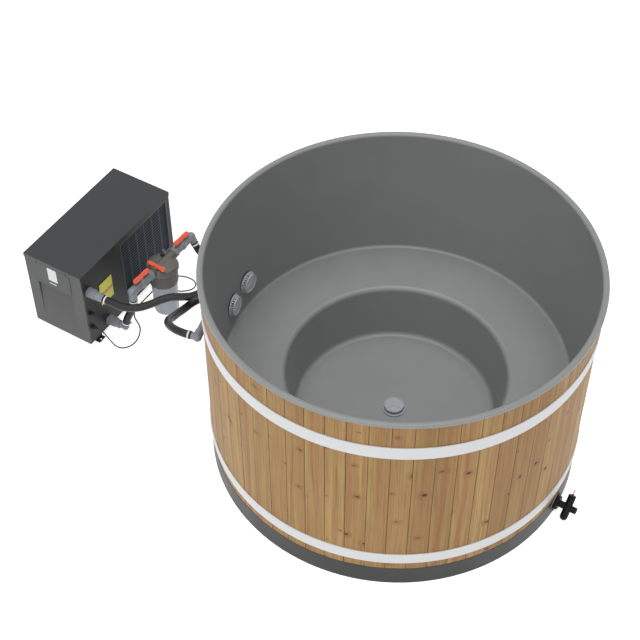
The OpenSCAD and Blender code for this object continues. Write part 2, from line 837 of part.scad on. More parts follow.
// Pipe along the wall from the suction's nut to the elbow that holds the hose
module suction_pipe() color(pvc_grey) {
    start = round_tub(suction_az, stave_r + locknut_t, 0, suction_z);
    stem = suction_knee - locknut_t;
    bore = fitting_bore - cut;
    difference() {
        union() {
            leg(start, suction_dir, pipe_r, stem);
            translate(suction_first_at) rotate([0, 0, suction_az])
                sphere(r = pipe_r + knuckle_extra);
            leg(suction_first_at, suction_side, pipe_r, suction_run);
            leg(suction_knee_at - suction_side * suction_socket, suction_side,
                pipe_r + 2 * knuckle_extra, suction_socket);
            translate(suction_knee_at) sphere(r = pipe_r + 3 * knuckle_extra);
            leg(suction_knee_at, suction_dir, pipe_r, suction_tail);
        }
        leg(start - suction_dir, suction_dir, bore, stem + cut);
        translate(suction_first_at) rotate([0, 0, suction_az]) sphere(r = fitting_bore);
        leg(suction_first_at, suction_side, bore, suction_run);
        translate(suction_knee_at) sphere(r = fitting_bore);
        leg(suction_knee_at, suction_dir, bore, suction_tail + cut);
    }
}

module drain_cover() color(strainer_grey)
    translate([0, 0, well_floor_h + drain_flange_t]) rotate([0, 0, 27]) strainer_cover();

// Cup under the footwell with a flange on its floor and a side outlet
module drain_body() color(pvc_grey) difference() {
    union() {
        translate([0, 0, well_floor_h]) cylinder(r = drain_flange_r, h = drain_flange_t);
        translate([0, 0, drain_cup_z0])
            cylinder(r = drain_cup_r, h = well_floor_h - drain_cup_z0 + drain_flange_t);
    }
    translate([0, 0, drain_cup_z0 + drain_cup_wall])
        cylinder(r = drain_cup_r - drain_cup_wall, h = well_floor_h);
    rotate([0, 0, drain_az]) translate([0, 0, drain_z]) x_cylinder(drain_pipe_r + fit, drain_cup_r + cut);
}

module drain_pipe() color(pvc_grey) rotate([0, 0, drain_az])
    translate([drain_cup_r - drain_cup_wall, 0, drain_z]) rotate([0, 90, 0])
        ring(drain_pipe_r, drain_pipe_bore, plinth_r + fit - drain_cup_r + drain_cup_wall);

// Frame of the drain valve with +X outwards from the plinth
module at_drain() rotate([0, 0, drain_az]) translate([plinth_r + fit, 0, drain_z]) children();

// Frame of the valve's barrel, +Z along its axis
module at_barrel() at_drain() translate([barrel_out, 0, 0]) rotate([-barrel_tilt, 0, 0]) children();

module drain_gasket() color(strainer_grey)
    at_drain() rotate([0, 90, 0]) ring(valve_flange_r + valve_gasket_t, drain_pipe_bore, valve_gasket_t);

module drain_valve() color(black) difference() {
    union() {
        at_drain() {
            translate([valve_gasket_t, 0, 0]) x_cylinder(valve_flange_r, valve_flange_t);
            translate([valve_gasket_t + valve_flange_t, 0, 0]) rotate([0, 90, 0])
                hexagon(valve_nut_r, valve_nut_t);
            translate([valve_gasket_t, 0, 0]) x_cylinder(valve_neck_r, barrel_out - valve_gasket_t);
            translate([barrel_out, 0, 0]) x_cylinder(spigot_r, spigot_len);
            for (i = [1:3])
                translate([barrel_out + spigot_len - i * spigot_len / 6, 0, 0])
                    x_cylinder(spigot_r + knuckle_extra / 2, spigot_len / 12);
        }
        at_barrel() {
            translate([0, 0, -barrel_len / 2]) cylinder(r = barrel_r, h = barrel_len);
            translate([0, 0, -barrel_len / 2])
                intersection() {
                    sphere(r = barrel_r);
                    translate([0, 0, -barrel_r / 2]) cylinder(r = barrel_r, h = barrel_r, center = true);
                }
        }
    }
    at_drain() {
        translate([-cut, 0, 0]) x_cylinder(spigot_way, barrel_out + spigot_len + cut);
        translate([barrel_out + spigot_len - outlet_depth, 0, 0])
            x_cylinder(spigot_bore, outlet_depth + cut);
    }
    at_barrel() translate([0, 0, -plug_r * 2]) cylinder(r = plug_r + run_fit, h = barrel_len);
}

// Turning plug with its cross bore, knob and the ear that holds the ring
module drain_plug() color(black) at_barrel() difference() {
    union() {
        translate([0, 0, -plug_r * 2 + fit]) cylinder(r = plug_r, h = barrel_len / 2 + plug_r * 2);
        translate([0, 0, barrel_len / 2 + fit]) cylinder(r = plug_knob_r, h = plug_knob_h);
        translate([0, 0, barrel_len / 2 + fit + plug_knob_h + pull_ear_h / 2])
            cube([pull_ear_w, pull_ear_w / 2, pull_ear_h], center = true);
        for (i = [0:11])
            rotate([0, 0, 30 * i]) translate([plug_knob_r, 0, barrel_len / 2 + fit])
                cylinder(r = rib_r, h = plug_knob_h);
    }
    rotate([barrel_tilt, 0, 0]) translate([-barrel_r, 0, 0]) x_cylinder(plug_bore, 2 * barrel_r);
    translate([0, -pull_ear_w, barrel_len / 2 + plug_knob_h + pull_ear_h / 2])
        y_cylinder(pull_ring_wire + fit, 2 * pull_ear_w);
}

// Wire ring through the ear on the knob
module drain_pull_ring() color(lever_orange) at_barrel()
    translate([0, 0, barrel_len / 2 + plug_knob_h + pull_ear_h / 2 + pull_ring_r])
        rotate([0, 90, 0]) rotate_extrude() translate([pull_ring_r, 0]) circle(r = pull_ring_wire);

module pump_base() color(casing_grey) in_casing() {
    edge = casing_in + sheet_t + fit;
    front = casing_in + front_t + fit;
    difference() {
        translate([edge, front, pump_foot_h])
            cube([pump_w - 2 * edge, pump_l - front - edge, tray_lip]);
        translate([edge + sheet_t, front + sheet_t, pump_foot_h + sheet_t])
            cube([pump_w - 2 * edge - 2 * sheet_t, pump_l - front - edge - 2 * sheet_t, tray_lip]);
    }
}

// Two channels under the casing with a drilled foot at each end
module pump_feet() color(black) in_casing()
    for (y = [foot_y, pump_l - foot_y - foot_w]) difference() {
        union() {
            translate([-foot_out, y, 0]) cube([pump_w + 2 * foot_out, foot_w, foot_t]);
            translate([foot_channel_in, y, 0]) cube([pump_w - 2 * foot_channel_in, foot_w, pump_foot_h]);
        }
        translate([foot_channel_in + foot_t, y + foot_t, foot_t])
            cube([pump_w - 2 * foot_channel_in - 2 * foot_t, foot_w - 2 * foot_t, pump_foot_h - 2 * foot_t]);
        for (x = [foot_hole_in, pump_w - foot_hole_in])
            translate([x, y + foot_w / 2, -cut]) cylinder(r = foot_hole_r, h = foot_t + 2 * cut);
    }

// Moulded front with a scooped lower field
module pump_front_panel() color(casing_grey) in_casing() difference() {
    translate([casing_in, casing_in, pump_foot_h])
        cube([pump_w - 2 * casing_in, front_t, panel_top - pump_foot_h]);
    translate([control_x0, 0, 0]) rotate([90, 0, 90]) linear_extrude(control_x1 - control_x0)
        polygon([[0, scoop_z0], [casing_in, scoop_z0], [casing_in + scoop_depth, control_z0],
            [0, control_z0]]);
}

module control_cover() color(casing_grey) in_casing()
    translate([0, casing_in, 0]) rotate([90, 0, 0]) linear_extrude(control_t) {
        z1 = pump_top - lid_lip - control_t;
        translate([control_x0 + control_round, control_z0])
            square([control_x1 - control_x0 - 2 * control_round, z1 - control_z0]);
        translate([control_x0, control_z0 + control_round])
            square([control_x1 - control_x0, z1 - control_z0 - 2 * control_round]);
        for (x = [control_x0 + control_round, control_x1 - control_round],
             z = [control_z0 + control_round, z1 - control_round])
            translate([x, z]) circle(r = control_round);
    }

module pump_top_cover() color(casing_grey) in_casing() difference() {
    translate([0, 0, pump_top - lid_lip]) cube([pump_w, pump_l, lid_lip]);
    translate([sheet_t, sheet_t, pump_top - lid_lip - cut])
        cube([pump_w - 2 * sheet_t, pump_l - 2 * sheet_t, lid_lip - sheet_t + cut]);
}

// Plate of a long side between the front and the rear
module side_plate() {
    y0 = casing_in + front_t + fit;
    y1 = pump_l - casing_in - sheet_t - fit;
    translate([0, y0, pump_foot_h]) cube([sheet_t, y1 - y0, panel_top - pump_foot_h]);
}

module pump_tub_side() color(casing_grey) in_casing()
    translate([pump_w - casing_in - sheet_t, 0, 0]) difference() {
        side_plate();
        translate([-cut, coil_y0, coil_z0])
            cube([sheet_t + 2 * cut, coil_y1 - coil_y0, coil_z1 - coil_z0]);
        for (p = [[outlet_y, outlet_z], [inlet_y, inlet_z]])
            translate([-cut, p[0], p[1]]) x_cylinder(stub_r + fit, sheet_t + 2 * cut);
        for (z = gland_zs)
            translate([-cut, gland_y, z]) x_cylinder(gland_stub_r + fit, sheet_t + 2 * cut);
    }

module pump_rear_panel() color(casing_grey) in_casing()
    translate([casing_in, pump_l - casing_in - sheet_t, pump_foot_h])
        cube([pump_w - 2 * casing_in, sheet_t, panel_top - pump_foot_h]);

module pump_fan_side() color(casing_grey) in_casing() translate([casing_in, 0, 0]) difference() {
    side_plate();
    translate([-cut, fan_y, fan_z]) x_cylinder(fan_open_r, sheet_t + 2 * cut);
}

// Louvred guard over the coil, with upright bars behind the slats
module coil_guard() color(dark_blue) in_casing() {
    y0 = coil_y0 + fit;
    y1 = coil_y1 - fit;
    z0 = coil_z0 + fit;
    z1 = coil_z1 - fit;
    slats = floor((z1 - z0 - 2 * guard_rim) / slat_pitch);
    pitch = (z1 - z0 - 2 * guard_rim + slat_t) / slats;
    x0 = pump_w - casing_in - guard_t;
    translate([x0, 0, 0]) rotate([90, 0, 90]) linear_extrude(guard_t - fit) difference() {
        translate([y0, z0]) square([y1 - y0, z1 - z0]);
        for (i = [0:slats - 1])
            translate([y0 + guard_rim, z0 + guard_rim + i * pitch])
                square([y1 - y0 - 2 * guard_rim, pitch - slat_t]);
    }
    for (i = [1:guard_bars])
        translate([x0 - guard_bar_w, y0 + (y1 - y0) * i / (guard_bars + 1) - guard_bar_w / 2, z0])
            cube([guard_bar_w, guard_bar_w, z1 - z0]);
}

// Finned block with the return bends of its tubes at both ends
module evaporator_coil() color(dark_blue) in_casing() {
    x1 = pump_w - casing_in - guard_t - guard_bar_w - coil_gap;
    z0 = pump_foot_h + sheet_t;
    h = panel_top - lid_lip - z0;
    translate([x1 - coil_t, coil_y0, z0]) cube([coil_t, coil_y1 - coil_y0 - coil_bend_r, h]);
    for (i = [0:coil_bends - 1])
        translate([x1 - coil_t / 2, coil_y0, z0 + h * (i + 0.5) / coil_bends])
            rotate([90, 0, 90]) rotate([0, 0, 90]) rotate_extrude(angle = 180)
                translate([coil_bend_r, 0]) circle(r = coil_tube_r);
}

// Flat guard of rings and spokes on the outside of the fan's opening
module fan_guard() color(black) in_casing() translate([casing_in - fan_guard_t, fan_y, fan_z])
    rotate([90, 0, 90]) linear_extrude(fan_guard_t) {
        step = fan_open_r / guard_ring_count;
        difference() {
            circle(r = fan_open_r + fan_guard_over);
            circle(r = fan_open_r - guard_ring_w);
        }
        for (i = [2:guard_ring_count - 1]) difference() {
            circle(r = i * step);
            circle(r = i * step - guard_ring_w);
        }
        circle(r = 1.5 * step);
        for (i = [0:guard_spokes - 1])
            rotate(i * 360 / guard_spokes) translate([step, -guard_ring_w / 2])
                square([fan_open_r - step, guard_ring_w]);
    }

// Cambered blade cut from a tube whose axis runs out from the hub
module fan_blade() intersection() {
    rotate([blade_pitch, 0, 0]) translate([0, 0, -blade_camber_r]) rotate([0, 90, 0]) difference() {
        cylinder(r = blade_camber_r + blade_t / 2, h = fan_r + cut);
        translate([0, 0, -cut]) cylinder(r = blade_camber_r - blade_t / 2, h = fan_r + 3 * cut);
    }
    difference() {
        cylinder(r = fan_r, h = 2 * hub_h, center = true);
        cylinder(r = hub_r - blade_t, h = 2 * hub_h + cut, center = true);
    }
    translate([0, -blade_chord / 2, -hub_h]) cube([fan_r + cut, blade_chord, 2 * hub_h]);
}

// Fan with its shaft, turning about +X
module fan_rotor() color(black) in_casing() translate([fan_x, fan_y, fan_z]) rotate([0, 90, 0]) {
    difference() {
        translate([0, 0, -hub_h / 2]) cylinder(r = hub_r, h = hub_h);
        translate([0, 0, -hub_h / 2 - cut]) cylinder(r = hub_r - 3 * blade_t, h = hub_h / 3);
    }
    for (i = [0:fan_blades - 1]) rotate([0, 0, i * 360 / fan_blades]) fan_blade();
    cylinder(r = shaft_r, h = hub_h / 2 + motor_gap + shaft_len);
}

module fan_motor() color(zinc) in_casing()
    translate([fan_x + hub_h / 2 + motor_gap, fan_y, fan_z]) difference() {
        union() {
            x_cylinder(motor_r, motor_h);
            translate([motor_h * motor_band_share, 0, 0])
                x_cylinder(motor_r + 2 * blade_t, motor_h * (1 - 2 * motor_band_share));
        }
        translate([-cut, 0, 0]) x_cylinder(shaft_r + run_fit, shaft_len + 3 * cut);
    }

// Upright plate that carries the motor between the base and the cover
module motor_bracket() color(zinc) in_casing() {
    x0 = fan_x + hub_h / 2 + motor_gap + motor_h;
    z0 = pump_foot_h + sheet_t;
    translate([x0, fan_y, 0]) difference() {
        union() {
            translate([0, -bracket_w / 2, z0]) cube([bracket_t, bracket_w, panel_top - z0]);
            translate([0, -bracket_w / 2, z0]) cube([bracket_foot, bracket_w, bracket_t]);
        }
        for (z = [z0 + bracket_foot, fan_z + motor_r + bracket_foot])
            translate([-cut, -bracket_w / 4, z])
                cube([bracket_t + 2 * cut, bracket_w / 2,
                    (z < fan_z ? fan_z - motor_r - bracket_foot : panel_top - bracket_foot) - z]);
    }
}

module divider_wall() color(zinc) in_casing() {
    edge = casing_in + 2 * sheet_t + 2 * fit;
    translate([edge, divider_y, pump_foot_h + sheet_t])
        cube([pump_w - 2 * edge, sheet_t, panel_top - pump_foot_h - sheet_t]);
}

// Hermetic compressor on three rubber pads, with its accumulator
module compressor() color(black) in_casing() translate([compressor_x, compressor_y, pump_foot_h + sheet_t]) {
    body_z = mount_pad_h + mount_plate_t;
    for (a = [30, 150, 270])
        rotate([0, 0, a]) translate([compressor_r - mount_pad_r / 2, 0, 0])
            cylinder(r = mount_pad_r, h = mount_pad_h + mount_plate_t / 2);
    translate([0, 0, mount_pad_h]) cylinder(r = compressor_r + mount_pad_r, h = mount_plate_t);
    translate([0, 0, body_z]) rotate_extrude()
        polygon(concat([[0, -cut], [compressor_r, -cut], [compressor_r, compressor_h - compressor_dome]],
            [for (a = [15:15:90])
                [compressor_r * cos(a), compressor_h - compressor_dome * (1 - sin(a))]]));
    translate([compressor_r + accumulator_r + mount_plate_t, 0, body_z + compressor_dome])
        cylinder(r = accumulator_r, h = accumulator_h);
    translate([compressor_r - mount_plate_t, -mount_plate_t, body_z + accumulator_h / 2])
        cube([accumulator_r + mount_plate_t, 2 * mount_plate_t, compressor_dome]);
}

// Upright heat exchanger whose port meets the outlet union's stub
module heat_exchanger() color(zinc) in_casing() {
    z0 = pump_foot_h + sheet_t;
    port_x = pump_w - casing_in - sheet_t - stub_in;
    translate([tank_x, tank_y, z0]) rotate_extrude()
        polygon([[0, 0], [tank_r - port_r / 2, 0], [tank_r, port_r / 2], [tank_r, tank_h - port_r / 2],
            [tank_r - port_r / 2, tank_h], [0, tank_h]]);
    translate([tank_x, outlet_y, outlet_z]) x_cylinder(port_r, port_x - tank_x);
}

// Circulation pump with a finned motor, on a foot, at the inlet union's stub
module circulation_pump() color(black) in_casing() {
    port_x = pump_w - casing_in - sheet_t - stub_in;
    z0 = pump_foot_h + sheet_t;
    translate([0, inlet_y, inlet_z]) {
        translate([circ_x0, 0, 0]) x_cylinder(circ_r - fin_h, circ_volute_x - circ_x0);
        for (i = [0:circ_fins - 1])
            translate([circ_x0 + fin_gap + i * (circ_volute_x - circ_x0 - fin_gap) / circ_fins, 0, 0])
                x_cylinder(circ_r, fin_t);
        translate([circ_volute_x, 0, 0]) x_cylinder(circ_r + fin_h / 2, circ_end_x - circ_volute_x);
        translate([circ_end_x, 0, 0]) x_cylinder(port_r, port_x - circ_end_x);
    }
    translate([circ_x0 + fin_gap, inlet_y - circ_r / 2, z0])
        cube([circ_end_x - circ_x0 - 2 * fin_gap, circ_r, inlet_z - z0]);
}

module control_box() color(pvc_grey) in_casing()
    translate([box_x0, divider_y - box_d, box_z0]) difference() {
        cube([box_w, box_d, box_h]);
        for (i = [0:5])
            translate([box_w * (i + 1) / 8, -cut, box_h / 6])
                cube([fin_gap, fin_h + cut, box_h / 3]);
    }

// Stub, collar, ribbed nut and sleeve along +X from the casing's tub side
module casing_union(sleeve) {
    translate([-sheet_t - stub_in, 0, 0]) x_cylinder(stub_r, sheet_t + stub_in + collar_t);
    x_cylinder(collar_r, collar_t);
    translate([collar_t, 0, 0]) x_cylinder(union_nut_r, union_nut_t);
    for (i = [0:union_ribs - 1])
        rotate([i * 360 / union_ribs, 0, 0]) translate([collar_t, 0, union_nut_r])
            x_cylinder(rib_r, union_nut_t - collar_t / 2);
    translate([collar_t, 0, 0]) x_cylinder(union_r, sleeve - collar_t);
}

module water_outlet_union() color(pvc_grey) in_casing()
    translate([pump_w - casing_in, outlet_y, outlet_z]) difference() {
        casing_union(union_len);
        translate([-sheet_t - stub_in - cut, 0, 0])
            x_cylinder(water_bore, union_len + sheet_t + stub_in + 2 * cut);
    }

module water_inlet_union() color(pvc_grey) in_casing()
    translate([pump_w - casing_in, inlet_y, inlet_z]) {
        knee = inlet_knee + casing_in;
        difference() {
            union() {
                casing_union(inlet_sleeve);
                x_cylinder(inlet_pipe_r, knee);
                translate([knee, 0, 0]) sphere(r = inlet_pipe_r + knuckle_extra);
                leg([knee, 0, 0], inlet_dir, inlet_pipe_r, inlet_rise);
            }
            translate([-sheet_t - stub_in - cut, 0, 0])
                x_cylinder(water_bore, knee + sheet_t + stub_in + cut);
            translate([knee, 0, 0]) sphere(r = water_bore + fit);
            leg([knee, 0, 0], inlet_dir, water_bore, inlet_rise + cut);
        }
    }

module cable_glands() color(black) in_casing()
    for (z = gland_zs)
        translate([pump_w - casing_in, gland_y, z]) {
            translate([-sheet_t - gland_nut_t, 0, 0]) x_cylinder(gland_stub_r, sheet_t + gland_nut_t);
            rotate([0, 90, 0]) hexagon(gland_nut_r, gland_nut_t);
            rotate([0, 90, 0]) rotate_extrude()
                polygon(concat([[0, 0], [gland_dome_r, 0]],
                    [for (a = [0:15:60])
                        [gland_dome_r * cos(a), gland_len - gland_dome_r * (1 - sin(a) / sin(60))]],
                    [[0, gland_len]]));
        }

// Clear bowl with a rounded foot and an open top inside the lock ring
module filter_bowl() color(bowl_grey) in_filter() rotate_extrude()
    polygon(concat([[0, 0]],
        arc(bowl_foot_r - bowl_round, bowl_round, bowl_round, -90, 0),
        [[bowl_r, ring_z0], [bowl_r, bowl_top], [bowl_r - bowl_wall, bowl_top],
            [bowl_r - bowl_wall, ring_z0]],
        reversed(arc(bowl_foot_r - bowl_round, bowl_round, bowl_round - bowl_wall, -90, 0)),
        [[0, bowl_wall]]));

module filter_lock_ring() color(casing_grey) in_filter() translate([0, 0, ring_z0]) {
    difference() {
        union() {
            cylinder(r = bowl_r + fit + ring_t, h = ring_z1 - ring_z0);
            for (i = [0:ring_ribs - 1])
                rotate([0, 0, (i + 0.5) * 360 / ring_ribs])
                    translate([bowl_r + fit + ring_t, 0, ring_rib_in])
                        cylinder(r = ring_rib_r, h = ring_z1 - ring_z0 - 2 * ring_rib_in);
        }
        translate([0, 0, -cut]) cylinder(r = bowl_r + fit, h = ring_z1 - ring_z0 + 2 * cut);
    }
}

// Domed head with two ports, the bypass seat, the bleed boss and the sensor boss
module filter_head() color(casing_grey) in_filter() difference() {
    union() {
        rotate_extrude() polygon([[0, ring_z1 - head_plug_h],
            [bowl_r - bowl_wall - fit, ring_z1 - head_plug_h],
            [bowl_r - bowl_wall - fit, bowl_top + fit], [bowl_r, bowl_top + fit], [bowl_r, ring_z1],
            [head_r * head_edge_share, ring_z1], [head_r, head_wide_z - (head_wide_z - ring_z1) / 2],
            [head_r, head_wide_z], [head_r * head_edge_share, head_wide_z + (head_top - head_wide_z) / 2],
            [head_r * head_shoulder_share, head_top - head_crown_drop], [head_r * head_crown_share, head_top],
            [0, head_top]]);
        translate([0, -port_end, filter_pipe_z]) y_cylinder(port_out_r, 2 * port_end);
        translate([0, bypass_y, filter_pipe_z]) cylinder(r = bypass_boss_r, h = bypass_tower_h);
        translate([bleed_x, bleed_y, head_wide_z])
            cylinder(r = bleed_boss_r, h = head_top - head_wide_z + bleed_seat / 2);
        rotate([0, 0, sensor_az]) translate([head_r - sensor_r, 0, head_wide_z])
            x_cylinder(sensor_r, sensor_out - head_r + sensor_r);
        rotate([0, 0, sensor_az]) translate([sensor_out, 0, head_wide_z - sensor_drop])
            cylinder(r = sensor_r, h = sensor_drop + sensor_r);
    }
    translate([0, -port_end - cut, filter_pipe_z]) y_cylinder(water_bore, 2 * port_end + 2 * cut);
    translate([0, bypass_y, filter_pipe_z]) sphere(r = bypass_ball_r + ball_fit);
    translate([0, bypass_y, filter_pipe_z]) cylinder(r = stem_r + run_fit, h = bypass_tower_h + cut);
    translate([bleed_x, bleed_y, head_top + bleed_seat / 2 - 2 * bleed_seat])
        cylinder(r = bleed_r + run_fit, h = 2 * bleed_seat + cut);
}

// Pleated cartridge between two end caps
module filter_cartridge() color(paper_white) in_filter() {
    h = cartridge_z1 - cartridge_z0;
    translate([0, 0, bowl_wall]) cylinder(r = cartridge_core_r, h = cartridge_z0 - bowl_wall);
    for (z = [cartridge_z0, cartridge_z1 - cartridge_cap])
        translate([0, 0, z]) cylinder(r = cartridge_r, h = cartridge_cap);
    translate([0, 0, cartridge_z0]) linear_extrude(h)
        polygon([for (i = [0:2 * cartridge_pleats - 1])
            let (r = cartridge_r - cartridge_cap_over - (i % 2) * pleat_depth, a = 180 * i / cartridge_pleats)
            [r * cos(a), r * sin(a)]]);
    translate([0, 0, cartridge_z1]) cylinder(r = cartridge_core_r, h = ring_z1 - head_plug_h - cartridge_z1);
}

// Screw with a ribbed knob that lets air out of the head
module bleed_screw() color(black) in_filter() translate([bleed_x, bleed_y, head_top + bleed_seat / 2 + fit]) {
    cylinder(r = bleed_knob_r, h = bleed_knob_h);
    for (i = [0:7])
        rotate([0, 0, 45 * i]) translate([bleed_knob_r, 0, rib_r])
            cylinder(r = rib_r, h = bleed_knob_h - 2 * rib_r);
    translate([0, 0, -1.5 * bleed_seat]) cylinder(r = bleed_r, h = 1.5 * bleed_seat + cut);
}

// Ball valve body along +Y from the filter's port to its elbow, the leg's direction and length given
module ball_valve(leg_v, leg_l) translate([0, 0, filter_pipe_z]) difference() {
    union() {
        translate([0, port_end, 0]) y_cylinder(valve_collar_r, valve_collar_t);
        for (i = [0:union_ribs - 1])
            rotate([0, i * 360 / union_ribs, 0]) translate([0, port_end + rib_r, valve_collar_r])
                y_cylinder(rib_r, valve_collar_t - 2 * rib_r);
        translate([0, port_end, 0]) y_cylinder(valve_tube_r, valve_end - port_end);
        translate([0, valve_y - valve_body_l / 2, 0])
            y_cylinder(valve_body_r - 3 * knuckle_extra, valve_body_l);
        translate([0, valve_y, 0]) sphere(r = valve_body_r);
        translate([0, valve_y, 0]) cylinder(r = tower_r, h = tower_h - fit);
        translate([0, valve_end - valve_collar_t, 0])
            y_cylinder(valve_tube_r + knuckle_extra, valve_collar_t);
        translate([0, valve_end, 0]) sphere(r = valve_tube_r + 2 * knuckle_extra);
        leg([0, valve_end, 0], leg_v, valve_tube_r, leg_l);
    }
    translate([0, port_end - cut, 0]) y_cylinder(water_bore, valve_end - port_end + cut);
    translate([0, valve_y, 0]) sphere(r = ball_r + ball_fit);
    translate([0, valve_y, 0]) cylinder(r = stem_r + run_fit, h = tower_h + cut);
    translate([0, valve_end, 0]) sphere(r = water_bore + cut);
    leg([0, valve_end, 0], leg_v, water_bore, leg_l + cut);
}

module inlet_valve() color(pvc_grey) in_filter()
    ball_valve([sin(inlet_lean), 0, -cos(inlet_lean)], inlet_leg);

module outlet_valve() color(pvc_grey) in_filter() mirror([0, 1, 0]) ball_valve([0, 0, -1], outlet_leg);

// Grip of a valve lever, centred on the stem and lying along Y
module lever_grip(l, w, knob) {
    linear_extrude(lever_t) {
        translate([-w * lever_waist_share / 2, -l / 2 + w / 2]) square([w * lever_waist_share, l - w]);
        for (side = [-1, 1]) {
            translate([0, side * (l / 2 - w / 2)]) circle(r = w / 2);
            translate([-w / 2, side * l * lever_pad_share - l * lever_pad_share / 2])
                square([w, l * lever_pad_share]);
        }
        if (knob > 0) translate([0, l / 2 - knob]) circle(r = knob);
        circle(r = w / 2);
    }
    translate([-lever_ridge_w / 2, -l / 2 + w / 2, lever_t]) cube([lever_ridge_w, l - w, lever_ridge_h]);
}

// Lever with its stem and the bored ball, open when the grip lies along the pipe
module valve_lever() {
    translate([0, 0, tower_h]) lever_grip(lever_l, lever_w, 0);
    cylinder(r = stem_r, h = tower_h + lever_t / 2);
    difference() {
        sphere(r = ball_r);
        translate([0, -ball_r - cut, 0]) y_cylinder(water_bore, 2 * ball_r + 2 * cut);
    }
}

module inlet_lever() color(lever_orange) in_filter() translate([0, valve_y, filter_pipe_z]) valve_lever();

module outlet_lever() color(lever_orange) in_filter() translate([0, -valve_y, filter_pipe_z]) valve_lever();

// Lever across the pipe on the head, shut at rest
module bypass_lever() color(lever_orange) in_filter() translate([0, bypass_y, filter_pipe_z]) {
    translate([bypass_shift, 0, bypass_tower_h + fit]) rotate([0, 0, -90])
        lever_grip(bypass_lever_l, bypass_lever_w, bypass_knob_r);
    cylinder(r = stem_r, h = bypass_tower_h + lever_t / 2);
    difference() {
        sphere(r = bypass_ball_r);
        translate([-bypass_ball_r - cut, 0, 0]) x_cylinder(water_bore - cut, 2 * bypass_ball_r + 2 * cut);
    }
}

module return_hose() color(hose_black) tube(return_route, hose_d / 2, hose_sides);

module link_hose() color(hose_black) tube(link_route, hose_d / 2, hose_sides);

module suction_hose() color(hose_black) tube(suction_route, hose_d / 2, hose_sides);

module sensor_cable() color(black) tube(cable_route, cable_d / 2, cable_sides);

// Band with a screw lug round a hose, at its end p with the hose leaving along v
module hose_clamp(p, v) translate(p) along(v) translate([0, 0, clamp_in - clamp_w / 2]) {
    ring(hose_d / 2 + fit + clamp_t, hose_d / 2 + fit, clamp_w);
    translate([hose_d / 2 + fit + clamp_t / 2, -clamp_lug / 2, 0]) cube([clamp_lug, clamp_lug, clamp_w]);
}

module hose_clamps() color(clamp_white) {
    hose_clamp(outlet_end, [1, 0, 0]);
    hose_clamp(return_end, return_dir);
    hose_clamp(suction_end, suction_dir);
    hose_clamp(filter_in_end, filter_in_dir);
    hose_clamp(filter_out_end, filter_drop_dir);
    hose_clamp(inlet_end, inlet_dir);
}

tub_liner();
base_plinth();
base_bearers();
seat_supports();
wall_staves();
wall_insulation();
hoop_upper();
hoop_lower();
hoop_bolts();
return_cover();
suction_cover();
fitting_bodies();
fitting_gaskets();
fitting_locknuts();
return_tail();
suction_pipe();
drain_cover();
drain_body();
drain_pipe();
drain_gasket();
drain_valve();
drain_plug();
drain_pull_ring();
pump_base();
pump_feet();
pump_front_panel();
control_cover();
pump_top_cover();
pump_tub_side();
pump_rear_panel();
pump_fan_side();
coil_guard();
evaporator_coil();
fan_guard();
fan_rotor();
fan_motor();
motor_bracket();
divider_wall();
compressor();
heat_exchanger();
circulation_pump();
control_box();
water_inlet_union();
water_outlet_union();
cable_glands();
filter_bowl();
filter_lock_ring();
filter_head();
filter_cartridge();
bleed_screw();
inlet_valve();
outlet_valve();
inlet_lever();
outlet_lever();
bypass_lever();
return_hose();
link_hose();
suction_hose();
sensor_cable();
hose_clamps();
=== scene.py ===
# Round barrel hot tub with its heat pump and filter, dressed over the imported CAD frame.
# Sizes are metres, in the frame of the CAD part.
import math

import bmesh
import bpy
from mathutils import Matrix, Vector


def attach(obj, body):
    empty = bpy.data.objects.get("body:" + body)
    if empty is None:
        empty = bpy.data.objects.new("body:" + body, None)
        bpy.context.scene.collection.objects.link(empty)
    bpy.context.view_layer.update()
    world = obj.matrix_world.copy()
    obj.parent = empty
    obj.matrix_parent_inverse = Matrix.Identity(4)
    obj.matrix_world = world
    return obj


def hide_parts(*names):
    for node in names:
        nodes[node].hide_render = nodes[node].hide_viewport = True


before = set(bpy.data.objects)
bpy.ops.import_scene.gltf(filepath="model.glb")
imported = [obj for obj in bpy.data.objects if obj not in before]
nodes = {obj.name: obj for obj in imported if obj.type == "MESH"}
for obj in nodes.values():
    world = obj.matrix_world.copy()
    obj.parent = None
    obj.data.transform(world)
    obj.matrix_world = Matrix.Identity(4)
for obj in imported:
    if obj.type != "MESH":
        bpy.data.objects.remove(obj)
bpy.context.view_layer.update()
scene = bpy.context.scene
scene.view_settings.view_transform = "Standard"
print("frame loaded,", len(nodes), "nodes")


def paint(red, green, blue):
    # a colour as the eye reads it, 0 to 255, made linear for the shader
    def linear(level):
        share = level / 255
        return share / 12.92 if share <= 0.04045 else ((share + 0.055) / 1.055) ** 2.4
    return (linear(red), linear(green), linear(blue), 1.0)


def toned(colour, share):
    # the colour made darker or paler
    return tuple(min(part * share, 1.0) for part in colour[:3]) + (1.0,)


def feed(tree, socket, value):
    # a socket takes either another node's output or a plain value
    if isinstance(value, bpy.types.NodeSocket):
        tree.links.new(value, socket)
    else:
        socket.default_value = value


def addNode(tree, kind, inputs=None, **settings):
    node = tree.nodes.new(kind)
    for key, value in settings.items():
        setattr(node, key, value)
    for key, value in (inputs or {}).items():
        feed(tree, node.inputs[key], value)
    return node


def calc(tree, operation, first, second=0.0, clamp=False):
    node = addNode(tree, "ShaderNodeMath", {0: first, 1: second}, operation=operation, use_clamp=clamp)
    return node.outputs[0]


def blendColour(tree, share, first, second):
    inputs = {"Factor": share, 6: first, 7: second}
    return addNode(tree, "ShaderNodeMix", inputs, data_type="RGBA", clamp_factor=True).outputs[2]


